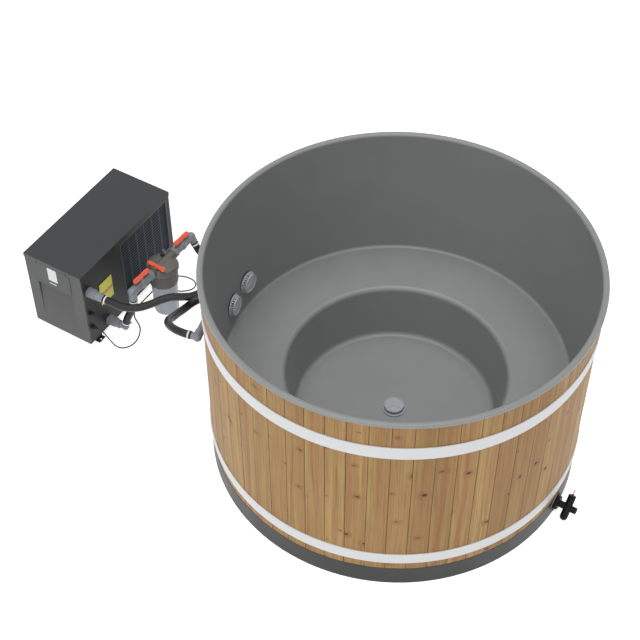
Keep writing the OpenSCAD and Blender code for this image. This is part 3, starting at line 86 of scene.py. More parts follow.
def spread(tree, value, low, high, toLow=0.0, toHigh=1.0):
    ends = {"Value": value, "From Min": low, "From Max": high, "To Min": toLow, "To Max": toHigh}
    return addNode(tree, "ShaderNodeMapRange", ends, clamp=True).outputs[0]


# nearly all of a noise lies in this range
noiseRange = (0.3, 0.7)


def fromNoise(tree, noise, toLow=0.0, toHigh=1.0):
    # a noise, spread between the two values
    return spread(tree, noise, *noiseRange, toLow, toHigh)


def grainNoise(tree, vector, scale, detail=2.0, rough=0.5, twist=0.0):
    inputs = {"Vector": vector, "Scale": scale, "Detail": detail, "Roughness": rough, "Distortion": twist}
    return addNode(tree, "ShaderNodeTexNoise", inputs).outputs[0]


def vectorOf(tree, *parts):
    return addNode(tree, "ShaderNodeCombineXYZ", dict(enumerate(parts))).outputs[0]


def partsOf(tree, vector):
    return addNode(tree, "ShaderNodeSeparateXYZ", {0: vector}).outputs


def storedData(tree, name, output):
    return addNode(tree, "ShaderNodeAttribute", attribute_name=name).outputs[output]


def newMaterial(name):
    material = bpy.data.materials.new(name)
    material.use_nodes = True
    tree = material.node_tree
    return material, tree, tree.nodes["Principled BSDF"]


def objectPlace(tree):
    return addNode(tree, "ShaderNodeTexCoord").outputs["Object"]


def setSurface(tree, shader, colour, rough, level=0.5, sheen=0.0, metal=0.0):
    for name, value in (("Base Color", colour), ("Roughness", rough), ("Specular IOR Level", level),
                        ("Sheen Weight", sheen), ("Metallic", metal)):
        feed(tree, shader.inputs[name], value)


def addBump(tree, shader, height, depth, strength=0.6):
    bump = addNode(tree, "ShaderNodeBump", {"Height": height, "Distance": depth, "Strength": strength})
    feed(tree, shader.inputs["Normal"], bump.outputs[0])


# camera of the photograph
cameraSetup = {
    "place": (2.0023, -3.9336, 5.6047),
    "forward": (-0.3542, 0.5746, -0.7378),
    "up": (-0.3862, 0.6286, 0.6750),
    "lens": 80.59,
    "sensor": 36.0,
    "reach": 200.0,
}


def addCamera(setup):
    data = bpy.data.cameras.new("photoCamera")
    data.lens = setup["lens"]
    data.sensor_width = setup["sensor"]
    data.clip_end = setup["reach"]
    forward = Vector(setup["forward"]).normalized()
    right = forward.cross(Vector(setup["up"])).normalized()
    up = right.cross(forward)
    camera = bpy.data.objects.new("photoCamera", data)
    turn = Matrix((right, up, -forward)).transposed().to_4x4()
    camera.matrix_world = Matrix.Translation(setup["place"]) @ turn
    scene.collection.objects.link(camera)
    scene.camera = camera


addCamera(cameraSetup)
print("camera placed")


# shapes made of rings of points
def meshObject(name, verts, faces, material=None, smooth=False):
    mesh = bpy.data.meshes.new(name)
    mesh.from_pydata([tuple(v) for v in verts], [], faces)
    mesh.update()
    mesh.polygons.foreach_set("use_smooth", [smooth] * len(mesh.polygons))
    if material:
        mesh.materials.append(material)
    piece = bpy.data.objects.new(name, mesh)
    scene.collection.objects.link(piece)
    return piece


def addSolid(verts, faces, rings, closed=False):
    # solid through rings that run the same way round; a ring may be a single point,
    # and the ends are capped or, when closed, joined
    loops = []
    for ring in rings:
        loops.append(range(len(verts), len(verts) + len(ring)))
        verts += ring
    following = loops[1:] + loops[:1] if closed else loops[1:]
    for low, high in zip(loops, following):
        size = max(len(low), len(high))
        for k in range(size):
            m = (k + 1) % size
            corners = (low[k % len(low)], low[m % len(low)], high[m % len(high)], high[k % len(high)])
            faces.append(tuple(dict.fromkeys(corners)))
    if not closed:
        caps = (tuple(reversed(loops[0])), tuple(loops[-1]))
        faces += [cap for cap in caps if len(cap) > 1]


def solidObject(name, rings, material=None, smooth=False, closed=False):
    verts, faces = [], []
    addSolid(verts, faces, rings, closed)
    return meshObject(name, verts, faces, material, smooth)


def turnedRings(profile, steps):
    # rings of a profile of radii and heights turned round Z
    turns = [math.tau * k / steps for k in range(steps)]
    return [[(r * math.cos(turn), r * math.sin(turn), z) for turn in turns] if r else [(0.0, 0.0, z)]
            for r, z in profile]


def storeVectors(piece, name, vectors):
    held = piece.data.attributes.new(name, "FLOAT_VECTOR", "POINT")
    held.data.foreach_set("vector", [float(part) for vector in vectors for part in vector])


def faceOut(piece):
    shape = bmesh.new()
    shape.from_mesh(piece.data)
    bmesh.ops.recalc_face_normals(shape, faces=shape.faces)
    shape.to_mesh(piece.data)
    shape.free()


# free hoses and the sensor cable, on the routes of the part
def smoothRoute(points, steps):
    # smooth line that passes through every point, with straight ends
    points = [Vector(p) for p in points]
    line = []
    for i in range(len(points) - 1):
        p1, p2 = points[i], points[i + 1]
        p0 = points[i - 1] if i > 0 else p1 - (p2 - p1)
        p3 = points[i + 2] if i + 2 < len(points) else p2 + (p2 - p1)
        t1 = math.sqrt((p1 - p0).length)
        t2 = t1 + math.sqrt((p2 - p1).length)
        t3 = t2 + math.sqrt((p3 - p2).length)
        for k in range(steps):
            t = t1 + (t2 - t1) * k / steps
            a1 = p0 * ((t1 - t) / t1) + p1 * (t / t1)
            a2 = p1 * ((t2 - t) / (t2 - t1)) + p2 * ((t - t1) / (t2 - t1))
            a3 = p2 * ((t3 - t) / (t3 - t2)) + p3 * ((t - t2) / (t3 - t2))
            b1 = a1 * ((t2 - t) / t2) + a2 * (t / t2)
            b2 = a2 * ((t3 - t) / (t3 - t1)) + a3 * ((t - t1) / (t3 - t1))
            line.append(b1 * ((t2 - t) / (t2 - t1)) + b2 * ((t - t1) / (t2 - t1)))
    line.append(points[-1])
    return line


def hoseMesh(name, line, radius, sides, lip, material):
    # round tube along a line, its two ends closed with a small lip
    count = len(line)
    ways = [(line[min(i + 1, count - 1)] - line[max(i - 1, 0)]).normalized() for i in range(count)]
    side = ways[0].orthogonal().normalized()
    stations = []
    for centre, way in zip(line, ways):
        side = (side - way * side.dot(way)).normalized()
        stations.append((centre, side, way.cross(side), radius))
    stations.insert(0, (*stations[0][:3], radius - lip))
    stations.append((*stations[-1][:3], radius - lip))
    rings, along, run = [], [], 0.0
    turns = [math.tau * k / sides for k in range(sides)]
    for i, (centre, a, b, r) in enumerate(stations):
        if i:
            run += (centre - stations[i - 1][0]).length
        rings.append([centre + (a * math.cos(turn) + b * math.sin(turn)) * r for turn in turns])
        along += [(k / sides, run, r) for k in range(sides)]
    piece = solidObject(name, rings, material, smooth=True)
    storeVectors(piece, "hosePlace", along)
    for face in piece.data.polygons[-2:]:
        face.use_smooth = False
    return piece


def hoseRubber(name, colour, rough, sheen, streaks=(40.0, 6.0)):
    # extruded rubber: faint lengthwise streaks, so many round it and along a metre, and dust
    material, tree, shader = newMaterial(name)
    place = partsOf(tree, storedData(tree, "hosePlace", "Vector"))
    stretched = vectorOf(tree, *[calc(tree, "MULTIPLY", place[i], streaks[i]) for i in range(2)])
    streak = grainNoise(tree, stretched, scale=1.0, detail=3.0, rough=0.6)
    dust = grainNoise(tree, objectPlace(tree), scale=18.0, detail=4.0, rough=0.6)
    blend = blendColour(tree, spread(tree, dust, 0.3, 0.75), toned(colour, 0.8), toned(colour, 1.3))
    gloss = spread(tree, streak, 0.2, 0.8, rough - 0.06, rough + 0.08)
    setSurface(tree, shader, blend, gloss, level=0.4, sheen=sheen)
    addBump(tree, shader, streak, depth=0.0002, strength=0.5)
    return material


hoses = {
    "diameter": 0.04,
    "sides": 32,
    "cableDiameter": 0.007,
    "cableSides": 14,
    "lip": 0.0008,
    "floorGap": 0.0002,
    "spanSteps": 6,
    "returnRoute": [
        (-1.5003, -0.313, 0.384), (-1.4603, -0.313, 0.384), (-1.398, -0.311, 0.385),
        (-1.347, -0.297, 0.390), (-1.300, -0.274, 0.401), (-1.260, -0.241, 0.416),
        (-1.224, -0.205, 0.432), (-1.185, -0.173, 0.445), (-1.139, -0.152, 0.455),
        (-1.093, -0.137, 0.470), (-1.054, -0.117, 0.492), (-1.022, -0.092, 0.523),
        (-0.98652, -0.05778, 0.561), (-0.95851, -0.03739, 0.581)],
    "suctionRoute": [
        (-0.87010, -0.42346, 0.585), (-0.90937, -0.43109, 0.585), (-0.958, -0.428, 0.577),
        (-1.002, -0.412, 0.562), (-1.037, -0.386, 0.541), (-1.061, -0.351, 0.516),
        (-1.072, -0.308, 0.488), (-1.083, -0.254, 0.460), (-1.088, -0.197, 0.436),
        (-1.088, -0.138, 0.421), (-1.084, -0.078, 0.399), (-1.083, -0.026, 0.362),
        (-1.087, 0.019, 0.317), (-1.098, 0.058, 0.268), (-1.115, 0.096, 0.221),
        (-1.141, 0.137, 0.183), (-1.175, 0.182, 0.158), (-1.217, 0.228, 0.150),
        (-1.263, 0.270, 0.158), (-1.308, 0.303, 0.184), (-1.347, 0.321, 0.224),
        (-1.38639, 0.32615, 0.26391), (-1.40637, 0.32703, 0.29856)],
    "cableRoute": [
        (-1.5693, -0.327, 0.138), (-1.548, -0.327, 0.138), (-1.529, -0.326, 0.129),
        (-1.515, -0.323, 0.110), (-1.505, -0.317, 0.084), (-1.496, -0.309, 0.056),
        (-1.486, -0.300, 0.030), (-1.473, -0.289, 0.012), (-1.457, -0.276, 0.004),
        (-1.441, -0.259, 0.004), (-1.430, -0.236, 0.004), (-1.427, -0.208, 0.004),
        (-1.432, -0.178, 0.004), (-1.444, -0.148, 0.004), (-1.461, -0.121, 0.004),
        (-1.485, -0.100, 0.004), (-1.513, -0.084, 0.004), (-1.540, -0.065, 0.004),
        (-1.558, -0.038, 0.004), (-1.566, -0.005, 0.004), (-1.568, 0.035, 0.004),
        (-1.567, 0.080, 0.004), (-1.567, 0.125, 0.004), (-1.569, 0.170, 0.004),
        (-1.569, 0.212, 0.004), (-1.560, 0.250, 0.004), (-1.538, 0.283, 0.004),
        (-1.506, 0.306, 0.004), (-1.468, 0.318, 0.004), (-1.430, 0.318, 0.004),
        (-1.402, 0.304, 0.004), (-1.391, 0.279, 0.004), (-1.398, 0.251, 0.004),
        (-1.419, 0.228, 0.004), (-1.444, 0.210, 0.005), (-1.466, 0.195, 0.018),
        (-1.479, 0.184, 0.050), (-1.485, 0.176, 0.100), (-1.48988, 0.17171, 0.200),
        (-1.48988, 0.17171, 0.284)],
    "linkEnds": [(-1.44464, -0.15977, 0.278), (-1.44464, -0.15977, 0.256),
                 (-1.48338, -0.19163, 0.1141), (-1.48693, -0.19451, 0.09258)],
    "linkHandle": 0.36,
    "linkSteps": 24,
}
hoseBlack = hoseRubber("hoseRubber", paint(18, 19, 19), 0.36, 0.0)
cableBlack = hoseRubber("cableRubber", paint(34, 35, 36), 0.5, 0.1)


def freeHose(name, node, route, diameter, sides, material):
    lowest = diameter / 2 + hoses["floorGap"]
    line = [Vector((p.x, p.y, max(p.z, lowest))) for p in smoothRoute(route, hoses["spanSteps"])]
    piece = hoseMesh(name, line, diameter / 2, sides, hoses["lip"], material)
    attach(piece, "tub")
    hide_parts(node)


def linkHose(sizes):
    # the short stiff hose between the filter's left valve and the heat pump's inlet
    top, lead, rise, foot = [Vector(p) for p in sizes["linkEnds"]]
    reach = (rise - lead).length * sizes["linkHandle"]
    first = lead + (lead - top).normalized() * reach
    second = rise + (rise - foot).normalized() * reach
    line = [top]
    for i in range(sizes["linkSteps"] + 1):
        t = i / sizes["linkSteps"]
        u = 1 - t
        line.append(lead * u ** 3 + first * (3 * u * u * t) + second * (3 * u * t * t) + rise * t ** 3)
    line.append(foot)
    piece = hoseMesh("linkHose", line, sizes["diameter"] / 2, sizes["sides"], sizes["lip"], hoseBlack)
    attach(piece, "tub")
    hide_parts("link_hose")


freeHose("returnHose", "return_hose", hoses["returnRoute"], hoses["diameter"], hoses["sides"], hoseBlack)
freeHose("suctionHose", "suction_hose", hoses["suctionRoute"], hoses["diameter"], hoses["sides"],
         hoseBlack)
freeHose("sensorCable", "sensor_cable", hoses["cableRoute"], hoses["cableDiameter"],
         hoses["cableSides"], cableBlack)
linkHose(hoses)
print("hoses and cable laid")


# coopered wall
wallSizes = {
    "count": 60,
    "outer": 0.888,
    "inner": 0.868,
    "topInner": 0.8755,
    "foot": 0.116,
    "rebate": 1.001,
    "top": 1.141,
    "gap": 0.0005,
    "bevel": 0.0014,
    "bevelMiddle": (0.3, 0.35),  # its shares round and into the board
    "arcSteps": 8,
    "looseness": 0.0007,
    "seed": 11,
}


def boardMesh(sizes):
    # one stave at azimuth 0, with eased edges and its own flat place in metres
    outer, edge = sizes["outer"], sizes["outer"] - sizes["bevel"]
    half = math.pi / sizes["count"] - sizes["gap"] / 2 / outer
    ease = sizes["bevel"] / outer
    turnShare, depthShare = sizes["bevelMiddle"]
    middle = outer - sizes["bevel"] * depthShare
    outline = [(-half + ease + 2 * (half - ease) * i / sizes["arcSteps"], outer)
               for i in range(sizes["arcSteps"] + 1)]
    outline += [(half - ease * turnShare, middle), (half, edge), (half, None), (0.0, None), (-half, None),
                (-half, edge), (-half + ease * turnShare, middle)]
    rings, place = [], []
    for z, inner in ((sizes["foot"], sizes["inner"]), (sizes["rebate"], sizes["inner"]),
                     (sizes["rebate"], sizes["topInner"]), (sizes["top"], sizes["topInner"])):
        row = [(turn, r or inner) for turn, r in outline]
        rings.append([(r * math.cos(turn), r * math.sin(turn), z) for turn, r in row])
        place += [(turn * outer, z, r) for turn, r in row]
    piece = solidObject("staveBoards", rings)
    storeVectors(piece, "boardPlace", place)
    return piece


def growPiece(name, source, numbers, material, build):
    # runs a tree on the source piece, with the numbers as its named inputs, and keeps a plain mesh
    tree = bpy.data.node_groups.new(name, "GeometryNodeTree")
    for way in ("INPUT", "OUTPUT"):
        tree.interface.new_socket("Geometry", in_out=way, socket_type="NodeSocketGeometry")
    keys = {}
    for label, value in numbers.items():
        kind = "NodeSocketInt" if isinstance(value, int) else "NodeSocketFloat"
        keys[label] = tree.interface.new_socket(label, in_out="INPUT", socket_type=kind).identifier
    start, end = tree.nodes.new("NodeGroupInput"), tree.nodes.new("NodeGroupOutput")
    realize = addNode(tree, "GeometryNodeRealizeInstances", {0: build(tree, start.outputs)})
    finish = addNode(tree, "GeometryNodeSetMaterial",
                     {"Geometry": realize.outputs[0], "Material": material})
    feed(tree, end.inputs[0], finish.outputs[0])
    grow = source.modifiers.new("grow", "NODES")
    grow.node_group = tree
    for label, value in numbers.items():
        grow[keys[label]] = value
    bpy.context.view_layer.update()
    evaluated = source.evaluated_get(bpy.context.evaluated_depsgraph_get())
    mesh = bpy.data.meshes.new_from_object(evaluated)
    source.modifiers.remove(grow)
    source.data = mesh
    faceOut(source)
    return source


def copiesOn(tree, points, shape, **turns):
    # one copy of the shape on each point
    inputs = {"Points": points, "Instance": shape, **turns}
    return addNode(tree, "GeometryNodeInstanceOnPoints", inputs).outputs[0]


def ringOfCopies(tree, count, copies):
    # the shape given, set out evenly round the Z axis
    line = addNode(tree, "GeometryNodeMeshLine", {"Count": count, "Offset": (0, 0, 0)}, mode="OFFSET")
    index = addNode(tree, "GeometryNodeInputIndex").outputs[0]
    turn = calc(tree, "MULTIPLY", index, calc(tree, "DIVIDE", math.tau, count))
    return copiesOn(tree, line.outputs[0], copies, Rotation=vectorOf(tree, 0.0, 0.0, turn))


def staveWall(sizes, material):
    def build(tree, given):
        boards = ringOfCopies(tree, given["Board count"], given["Geometry"])
        index = addNode(tree, "GeometryNodeInputIndex").outputs[0]
        slack = addNode(tree, "FunctionNodeRandomValue", data_type="FLOAT",
                        inputs={"ID": index, "Seed": given["Seed"]})
        chance = [s for s in slack.outputs if s.type == "VALUE"][0]
        pull = calc(tree, "MULTIPLY", calc(tree, "MULTIPLY", chance, given["Looseness"]), -1.0)
        move = addNode(tree, "GeometryNodeTranslateInstances",
                       {"Instances": boards, "Translation": vectorOf(tree, pull)})
        store = addNode(tree, "GeometryNodeStoreNamedAttribute", data_type="FLOAT", domain="INSTANCE",
                        inputs={"Geometry": move.outputs[0], "Name": "boardSeed", "Value": chance})
        return store.outputs[0]

    numbers = {"Board count": sizes["count"], "Looseness": sizes["looseness"], "Seed": sizes["seed"]}
    piece = growPiece("staveWall", boardMesh(sizes), numbers, material, build)
    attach(piece, "tub")
    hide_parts("wall_staves")


pineLook = {
    "pale": paint(190, 158, 100),
    "middle": paint(168, 134, 84),
    "rosy": paint(168, 121, 76),
    "brown": paint(124, 85, 44),
    "knot": paint(50, 28, 14),
    "halo": paint(138, 90, 54),
    "seamPaintedShade": paint(104, 72, 38),
    "seamShadeEdge": (0.0447, 0.0457),
    "knotAcross": 11.0,
    "knotAlong": 3.2,
    "knotScatter": 0.85,
    "knotChance": 0.68,
    "knotWidth": (0.0045, 0.0150),
    "knotSlimness": (0.55, 1.0),
    "knotWobble": 0.7,
    "coreReach": (0.55, 1.05),
    "haloReach": (0.9, 3.2),
    "haloShare": 0.45,
    "coreShade": (0.15, 0.6, 0.35, 1.0),
    "swerve": -0.75,
    "sway": 0.028,
    "drift": (9.0, 1.7),
    "broadRange": (0.34, 0.66),
    "gloss": (0.3, 0.8, 0.5, 0.66),
    "relief": {"fine": 0.6, "fibre": 0.4},
    # how far each pattern is moved from board to board
    "shuffle": {"knotX": 613.0, "knotY": 271.0, "drift": 57.0, "grain": 43.0, "tone": 977.0},
    # each grain across and along the board per metre, with its shift, detail and roughness
    "grains": {"broad": (42.0, 0.8, 0.0, 1.5, 0.4), "band": (95.0, 1.3, 7.0, 2.0, 0.5),
               "vein": (210.0, 2.2, 13.0, 2.0, 0.5), "fine": (520.0, 6.0, 19.0, 3.0, 0.6),
               "fibre": (1700.0, 26.0, 31.0, 2.0, 0.6)},
    # colours laid on in turn: the grain they follow, its range and their share
    "layers": [("middle", "band", 0.35, 0.7, 0.75), ("brown", "tone", 0.35, 0.68, 0.3),
               ("brown", "vein", 0.5, 0.72, 0.5), ("brown", "fine", 0.46, 0.74, 0.42)],
}


def pineMaterial(look):
    # oiled pine: broad streaks, fine grain, knots with bent grain, painted shade along the seams
    material, tree, shader = newMaterial("pineBoards")

    def times(first, second):
        return calc(tree, "MULTIPLY", first, second)

    def plus(first, second):
        return calc(tree, "ADD", first, second)

    place = storedData(tree, "boardPlace", "Vector")
    seed = storedData(tree, "boardSeed", "Fac")
    across, along = partsOf(tree, place)[:2]
    moved = {name: times(seed, step) for name, step in look["shuffle"].items()}

    # knots, one at most in each cell of a coarse grid
    cellX = plus(times(across, look["knotAcross"]), moved["knotX"])
    cellY = plus(times(along, look["knotAlong"]), moved["knotY"])
    knots = addNode(tree, "ShaderNodeTexVoronoi", voronoi_dimensions="2D",
                    inputs={"Vector": vectorOf(tree, cellX, cellY), "Scale": 1.0,
                            "Randomness": look["knotScatter"]})
    spotX, spotY = partsOf(tree, knots.outputs["Position"])[:2]
    chance = addNode(tree, "ShaderNodeSeparateColor", {0: knots.outputs["Color"]}).outputs
    offX = calc(tree, "DIVIDE", calc(tree, "SUBTRACT", cellX, spotX), look["knotAcross"])
    offY = calc(tree, "DIVIDE", calc(tree, "SUBTRACT", cellY, spotY), look["knotAlong"])
    wide = spread(tree, chance[1], 0.0, 1.0, *look["knotWidth"])
    tall = times(wide, spread(tree, chance[2], 0.0, 1.0, *look["knotSlimness"]))
    wobble = calc(tree, "SUBTRACT", grainNoise(tree, place, scale=220.0), 0.5)
    ringX, ringY = calc(tree, "DIVIDE", offX, wide), calc(tree, "DIVIDE", offY, tall)
    ring = calc(tree, "SQRT", plus(times(ringX, ringX), times(ringY, ringY)))
    ring = plus(ring, times(wobble, look["knotWobble"]))
    present = calc(tree, "LESS_THAN", chance[0], look["knotChance"])
    core = times(spread(tree, ring, *look["coreReach"], 1.0, 0.0), present)
    halo = times(spread(tree, ring, *look["haloReach"], 1.0, 0.0), present)

    # grain runs along the board and swerves round a knot
    driftX, driftY = look["drift"]
    drift = vectorOf(tree, times(across, driftX), plus(times(along, driftY), moved["drift"]))
    sway = calc(tree, "SUBTRACT", grainNoise(tree, drift, scale=1.0), 0.5)
    grainX = plus(plus(across, times(times(offX, halo), look["swerve"])), times(sway, look["sway"]))
    grains = {"tone": grainNoise(tree, moved["tone"], scale=1.0, detail=0.0)}
    for name, (perMetre, alongScale, shift, detail, rough) in look["grains"].items():
        vector = vectorOf(tree, times(grainX, perMetre), times(along, alongScale),
                          plus(moved["grain"], shift))
        grains[name] = grainNoise(tree, vector, 1.0, detail, rough)

    colour = blendColour(tree, spread(tree, grains["broad"], *look["broadRange"]),
                         look["pale"], look["rosy"])
    for tint, grain, low, high, share in look["layers"]:
        colour = blendColour(tree, spread(tree, grains[grain], low, high, 0.0, share), colour, look[tint])
    colour = blendColour(tree, times(halo, look["haloShare"]), colour, look["halo"])
    dark = times(core, spread(tree, chance[2], *look["coreShade"]))
    colour = blendColour(tree, dark, colour, look["knot"])
    # painted shade: each board darkens towards its edges, at the seams
    edge = spread(tree, calc(tree, "ABSOLUTE", across), *look["seamShadeEdge"])
    colour = blendColour(tree, edge, colour, look["seamPaintedShade"])
    setSurface(tree, shader, colour, spread(tree, grains["fine"], *look["gloss"]), level=0.28)
    height = plus(*[times(grains[grain], share) for grain, share in look["relief"].items()])
    addBump(tree, shader, height, depth=0.0004, strength=0.7)
    return material


staveWall(wallSizes, pineMaterial(pineLook))
print("stave wall grown")


# finishes, and the CAD pieces that wear them
def moulded(name, colour, rough, mottle, grain, depth, level=0.5):
    # moulded plastic or rubber: cloudy tone, fine texture, uneven gloss
    material, tree, shader = newMaterial(name)
    place = objectPlace(tree)
    cloud = grainNoise(tree, place, scale=6.0, detail=4.0, rough=0.55)
    blend = blendColour(tree, fromNoise(tree, cloud), toned(colour, 1 - mottle), toned(colour, 1 + mottle))
    setSurface(tree, shader, blend, fromNoise(tree, cloud, rough - 0.05, rough + 0.05), level)
    addBump(tree, shader, grainNoise(tree, place, grain, rough=0.6), depth)
    return material


# depth of the heat pump's pressed front, from its recessed floor to the face, over which its painted shade
# fades
pressedFront = (-0.3608, -0.352)


def powderCoatPaintedByFacing(name, top, front, side, rough, recessShade=0.0):
    # textured powder coat with painted light and shade: the top faces, the front faces and the sides each
    # get their own tone
    material, tree, shader = newMaterial(name)
    place = objectPlace(tree)
    facing = partsOf(tree, addNode(tree, "ShaderNodeTexCoord").outputs["Normal"])
    forward = calc(tree, "MULTIPLY", facing[1], -1.0, clamp=True)
    # painted light and shade by facing: a tone for the sides, one for the front faces and one for the top
    colour = blendColour(tree, forward, side, front)
    colour = blendColour(tree, calc(tree, "ABSOLUTE", facing[2]), colour, top)
    shade = fromNoise(tree, grainNoise(tree, place, scale=3.5, detail=4.0, rough=0.55), 0.0, 0.12)
    if recessShade:
        # painted shade: dimmer where the pressed front lies deeper
        paintedRecessShade = spread(tree, partsOf(tree, place)[1], *pressedFront, 0.0, recessShade)
        shade = calc(tree, "ADD", shade, paintedRecessShade)
    colour = blendColour(tree, shade, colour, paint(0, 0, 0))
    pimple = grainNoise(tree, place, scale=1100.0, rough=0.6)
    setSurface(tree, shader, colour, fromNoise(tree, pimple, rough - 0.07, rough + 0.07), level=0.35)
    addBump(tree, shader, pimple, depth=0.00015)
    return material


def metal(name, colour, rough, brushed):
    material, tree, shader = newMaterial(name)
    scratch = grainNoise(tree, objectPlace(tree), scale=160.0, detail=5.0, rough=0.65, twist=brushed)
    blend = blendColour(tree, scratch, toned(colour, 0.86), colour)
    setSurface(tree, shader, blend, fromNoise(tree, scratch, rough - 0.08, rough + 0.1), metal=1.0)
    addBump(tree, shader, scratch, depth=0.00008, strength=0.5)
    return material


def sawnTimber(name, pale, dark):
    material, tree, shader = newMaterial(name)
    stretch = addNode(tree, "ShaderNodeMapping", {"Scale": (6.0, 60.0, 60.0), "Vector": objectPlace(tree)})
    grain = grainNoise(tree, stretch.outputs[0], scale=1.0, detail=4.0, rough=0.6, twist=0.6)
    setSurface(tree, shader, blendColour(tree, fromNoise(tree, grain), pale, dark), 0.75, level=0.3)
    addBump(tree, shader, grain, depth=0.0006)
    return material


def bowlPlastic(name, tint):
    # clear tinted bowl, slightly hazed
    material, tree, shader = newMaterial(name)
    haze = grainNoise(tree, objectPlace(tree), scale=14.0, detail=3.0)
    blend = blendColour(tree, haze, tint, toned(tint, 1.06))
    setSurface(tree, shader, blend, fromNoise(tree, haze, 0.22, 0.3))
    shader.inputs["IOR"].default_value = 1.35
    shader.inputs["Transmission Weight"].default_value = 0.22
    return material


def pleatedPaper(name, colour):
    material, tree, shader = newMaterial(name)
    fuzz = grainNoise(tree, objectPlace(tree), scale=420.0, detail=4.0, rough=0.7)
    blend = blendColour(tree, fuzz, toned(colour, 0.9), colour)
    setSurface(tree, shader, blend, 0.85, level=0.2, sheen=0.1)
    addBump(tree, shader, fuzz, depth=0.0003)
    return material


# name, colour, roughness, mottle, grains per metre, their depth and, if not the usual, gloss level
mouldings = {
    "liner": ("linerShell", (147, 149, 148), 0.42, 0.025, 900.0, 0.00006),
    "plinth": ("plinthPlastic", (43, 45, 45), 0.44, 0.05, 500.0, 0.0001, 0.3),
    "hoop": ("hoopWhite", (224, 226, 228), 0.42, 0.02, 260.0, 0.00012),
    "strainer": ("strainerGrey", (206, 208, 216), 0.36, 0.04, 600.0, 0.00006),
    "strainerDrain": ("strainerDrain", (178, 180, 188), 0.36, 0.04, 600.0, 0.00006),
    # near-black sheet behind the strainer slots: painted shade
    "strainerInside": ("strainerInside", (10, 10, 11), 0.7, 0.1, 500.0, 0.0001, 0.1),
    "pvc": ("pvcGrey", (134, 141, 150), 0.34, 0.06, 450.0, 0.00008),
    "head": ("headGrey", (98, 97, 92), 0.45, 0.07, 420.0, 0.0001),
    "ring": ("ringGrey", (80, 80, 79), 0.5, 0.08, 420.0, 0.00012),
    "seal": ("wallSeal", (52, 53, 56), 0.6, 0.06, 500.0, 0.0001),
    "paleSeal": ("drainSeal", (168, 172, 186), 0.5, 0.04, 500.0, 0.0001),
    "valveBlack": ("valveBlack", (14, 15, 16), 0.4, 0.15, 380.0, 0.0001, 0.15),
    "lever": ("leverOrange", (240, 100, 60), 0.4, 0.05, 500.0, 0.00008),
    "clamp": ("clampWhite", (236, 237, 236), 0.4, 0.02, 500.0, 0.00006),
    "blackPlastic": ("blackPlastic", (26, 27, 28), 0.5, 0.12, 600.0, 0.0001, 0.3),
    "guard": ("guardBlue", (58, 69, 80), 0.45, 0.08, 600.0, 0.00008),
    "rubberFoot": ("footRubber", (30, 30, 31), 0.65, 0.12, 500.0, 0.00015),
    "foam": ("foamYellow", (222, 208, 150), 0.85, 0.06, 300.0, 0.0006, 0.2),
    "darkPaint": ("darkPaint", (40, 41, 42), 0.4, 0.08, 500.0, 0.0001),
    "plate": ("plateWhite", (226, 228, 229), 0.35, 0.02, 500.0, 0.00005),
}
finishes = {finish: moulded(name, paint(*colour), *rest)
            for finish, (name, colour, *rest) in mouldings.items()}
finishes.update({
    # the casing: painted shade on its sides and painted light on its front faces
    "casing": powderCoatPaintedByFacing("casingCoatPaintedShade", paint(56, 58, 60), paint(78, 80, 79), paint(34, 35, 36), 0.5),
    # the front panel: painted shade where its pressed front lies deeper
    "casingFront": powderCoatPaintedByFacing("casingFrontCoatPaintedShade", paint(76, 78, 78), paint(80, 82, 81),
                              paint(80, 82, 81), 0.48, recessShade=0.35),
    "zinc": metal("zincPlate", paint(190, 192, 196), 0.38, 0.6),
    # the coil's near-black blue stands for the shade inside the casing: painted shade on the aluminium
    "aluminium": metal("coilAluminiumPaintedShade", paint(34, 42, 52), 0.6, 0.4),
    "timber": sawnTimber("sawnTimber", paint(196, 164, 116), paint(168, 132, 88)),
    "bowl": bowlPlastic("bowlTint", paint(176, 183, 196)),
    "paper": pleatedPaper("filterPaper", paint(208, 208, 212)),
})
worn = {
    "plinth": ["base_plinth"],
    "hoop": ["hoop_upper", "hoop_lower"],
    "pvc": ["fitting_bodies", "fitting_locknuts", "return_tail", "suction_pipe", "drain_body",
            "drain_pipe", "water_inlet_union", "water_outlet_union", "inlet_valve", "outlet_valve"],
    "head": ["filter_head"],
    "ring": ["filter_lock_ring"],
    "seal": ["fitting_gaskets"],
    "paleSeal": ["drain_gasket"],
    "valveBlack": ["drain_valve", "drain_plug"],
    "lever": ["inlet_lever", "outlet_lever", "bypass_lever", "drain_pull_ring"],
    "clamp": ["hose_clamps"],
    "blackPlastic": ["cable_glands", "fan_guard", "fan_rotor", "control_box", "circulation_pump",
                     "heat_exchanger", "bleed_screw"],
    "rubberFoot": ["pump_feet"],
    "foam": ["wall_insulation"],
    "darkPaint": ["fan_motor", "compressor"],
    "casing": ["pump_top_cover", "pump_tub_side", "pump_rear_panel", "pump_fan_side", "pump_base"],
    "casingFront": ["pump_front_panel", "control_cover"],
    "zinc": ["hoop_bolts", "motor_bracket", "divider_wall"],
    "aluminium": ["evaporator_coil"],
    "timber": ["base_bearers", "seat_supports"],
    "bowl": ["filter_bowl"],
    "paper": ["filter_cartridge"],
}
for finish, names in worn.items():
    for name in names:
        piece = nodes[name]
        piece.data.materials.clear()
        piece.data.materials.append(finishes[finish])
print("finishes set on the CAD pieces")
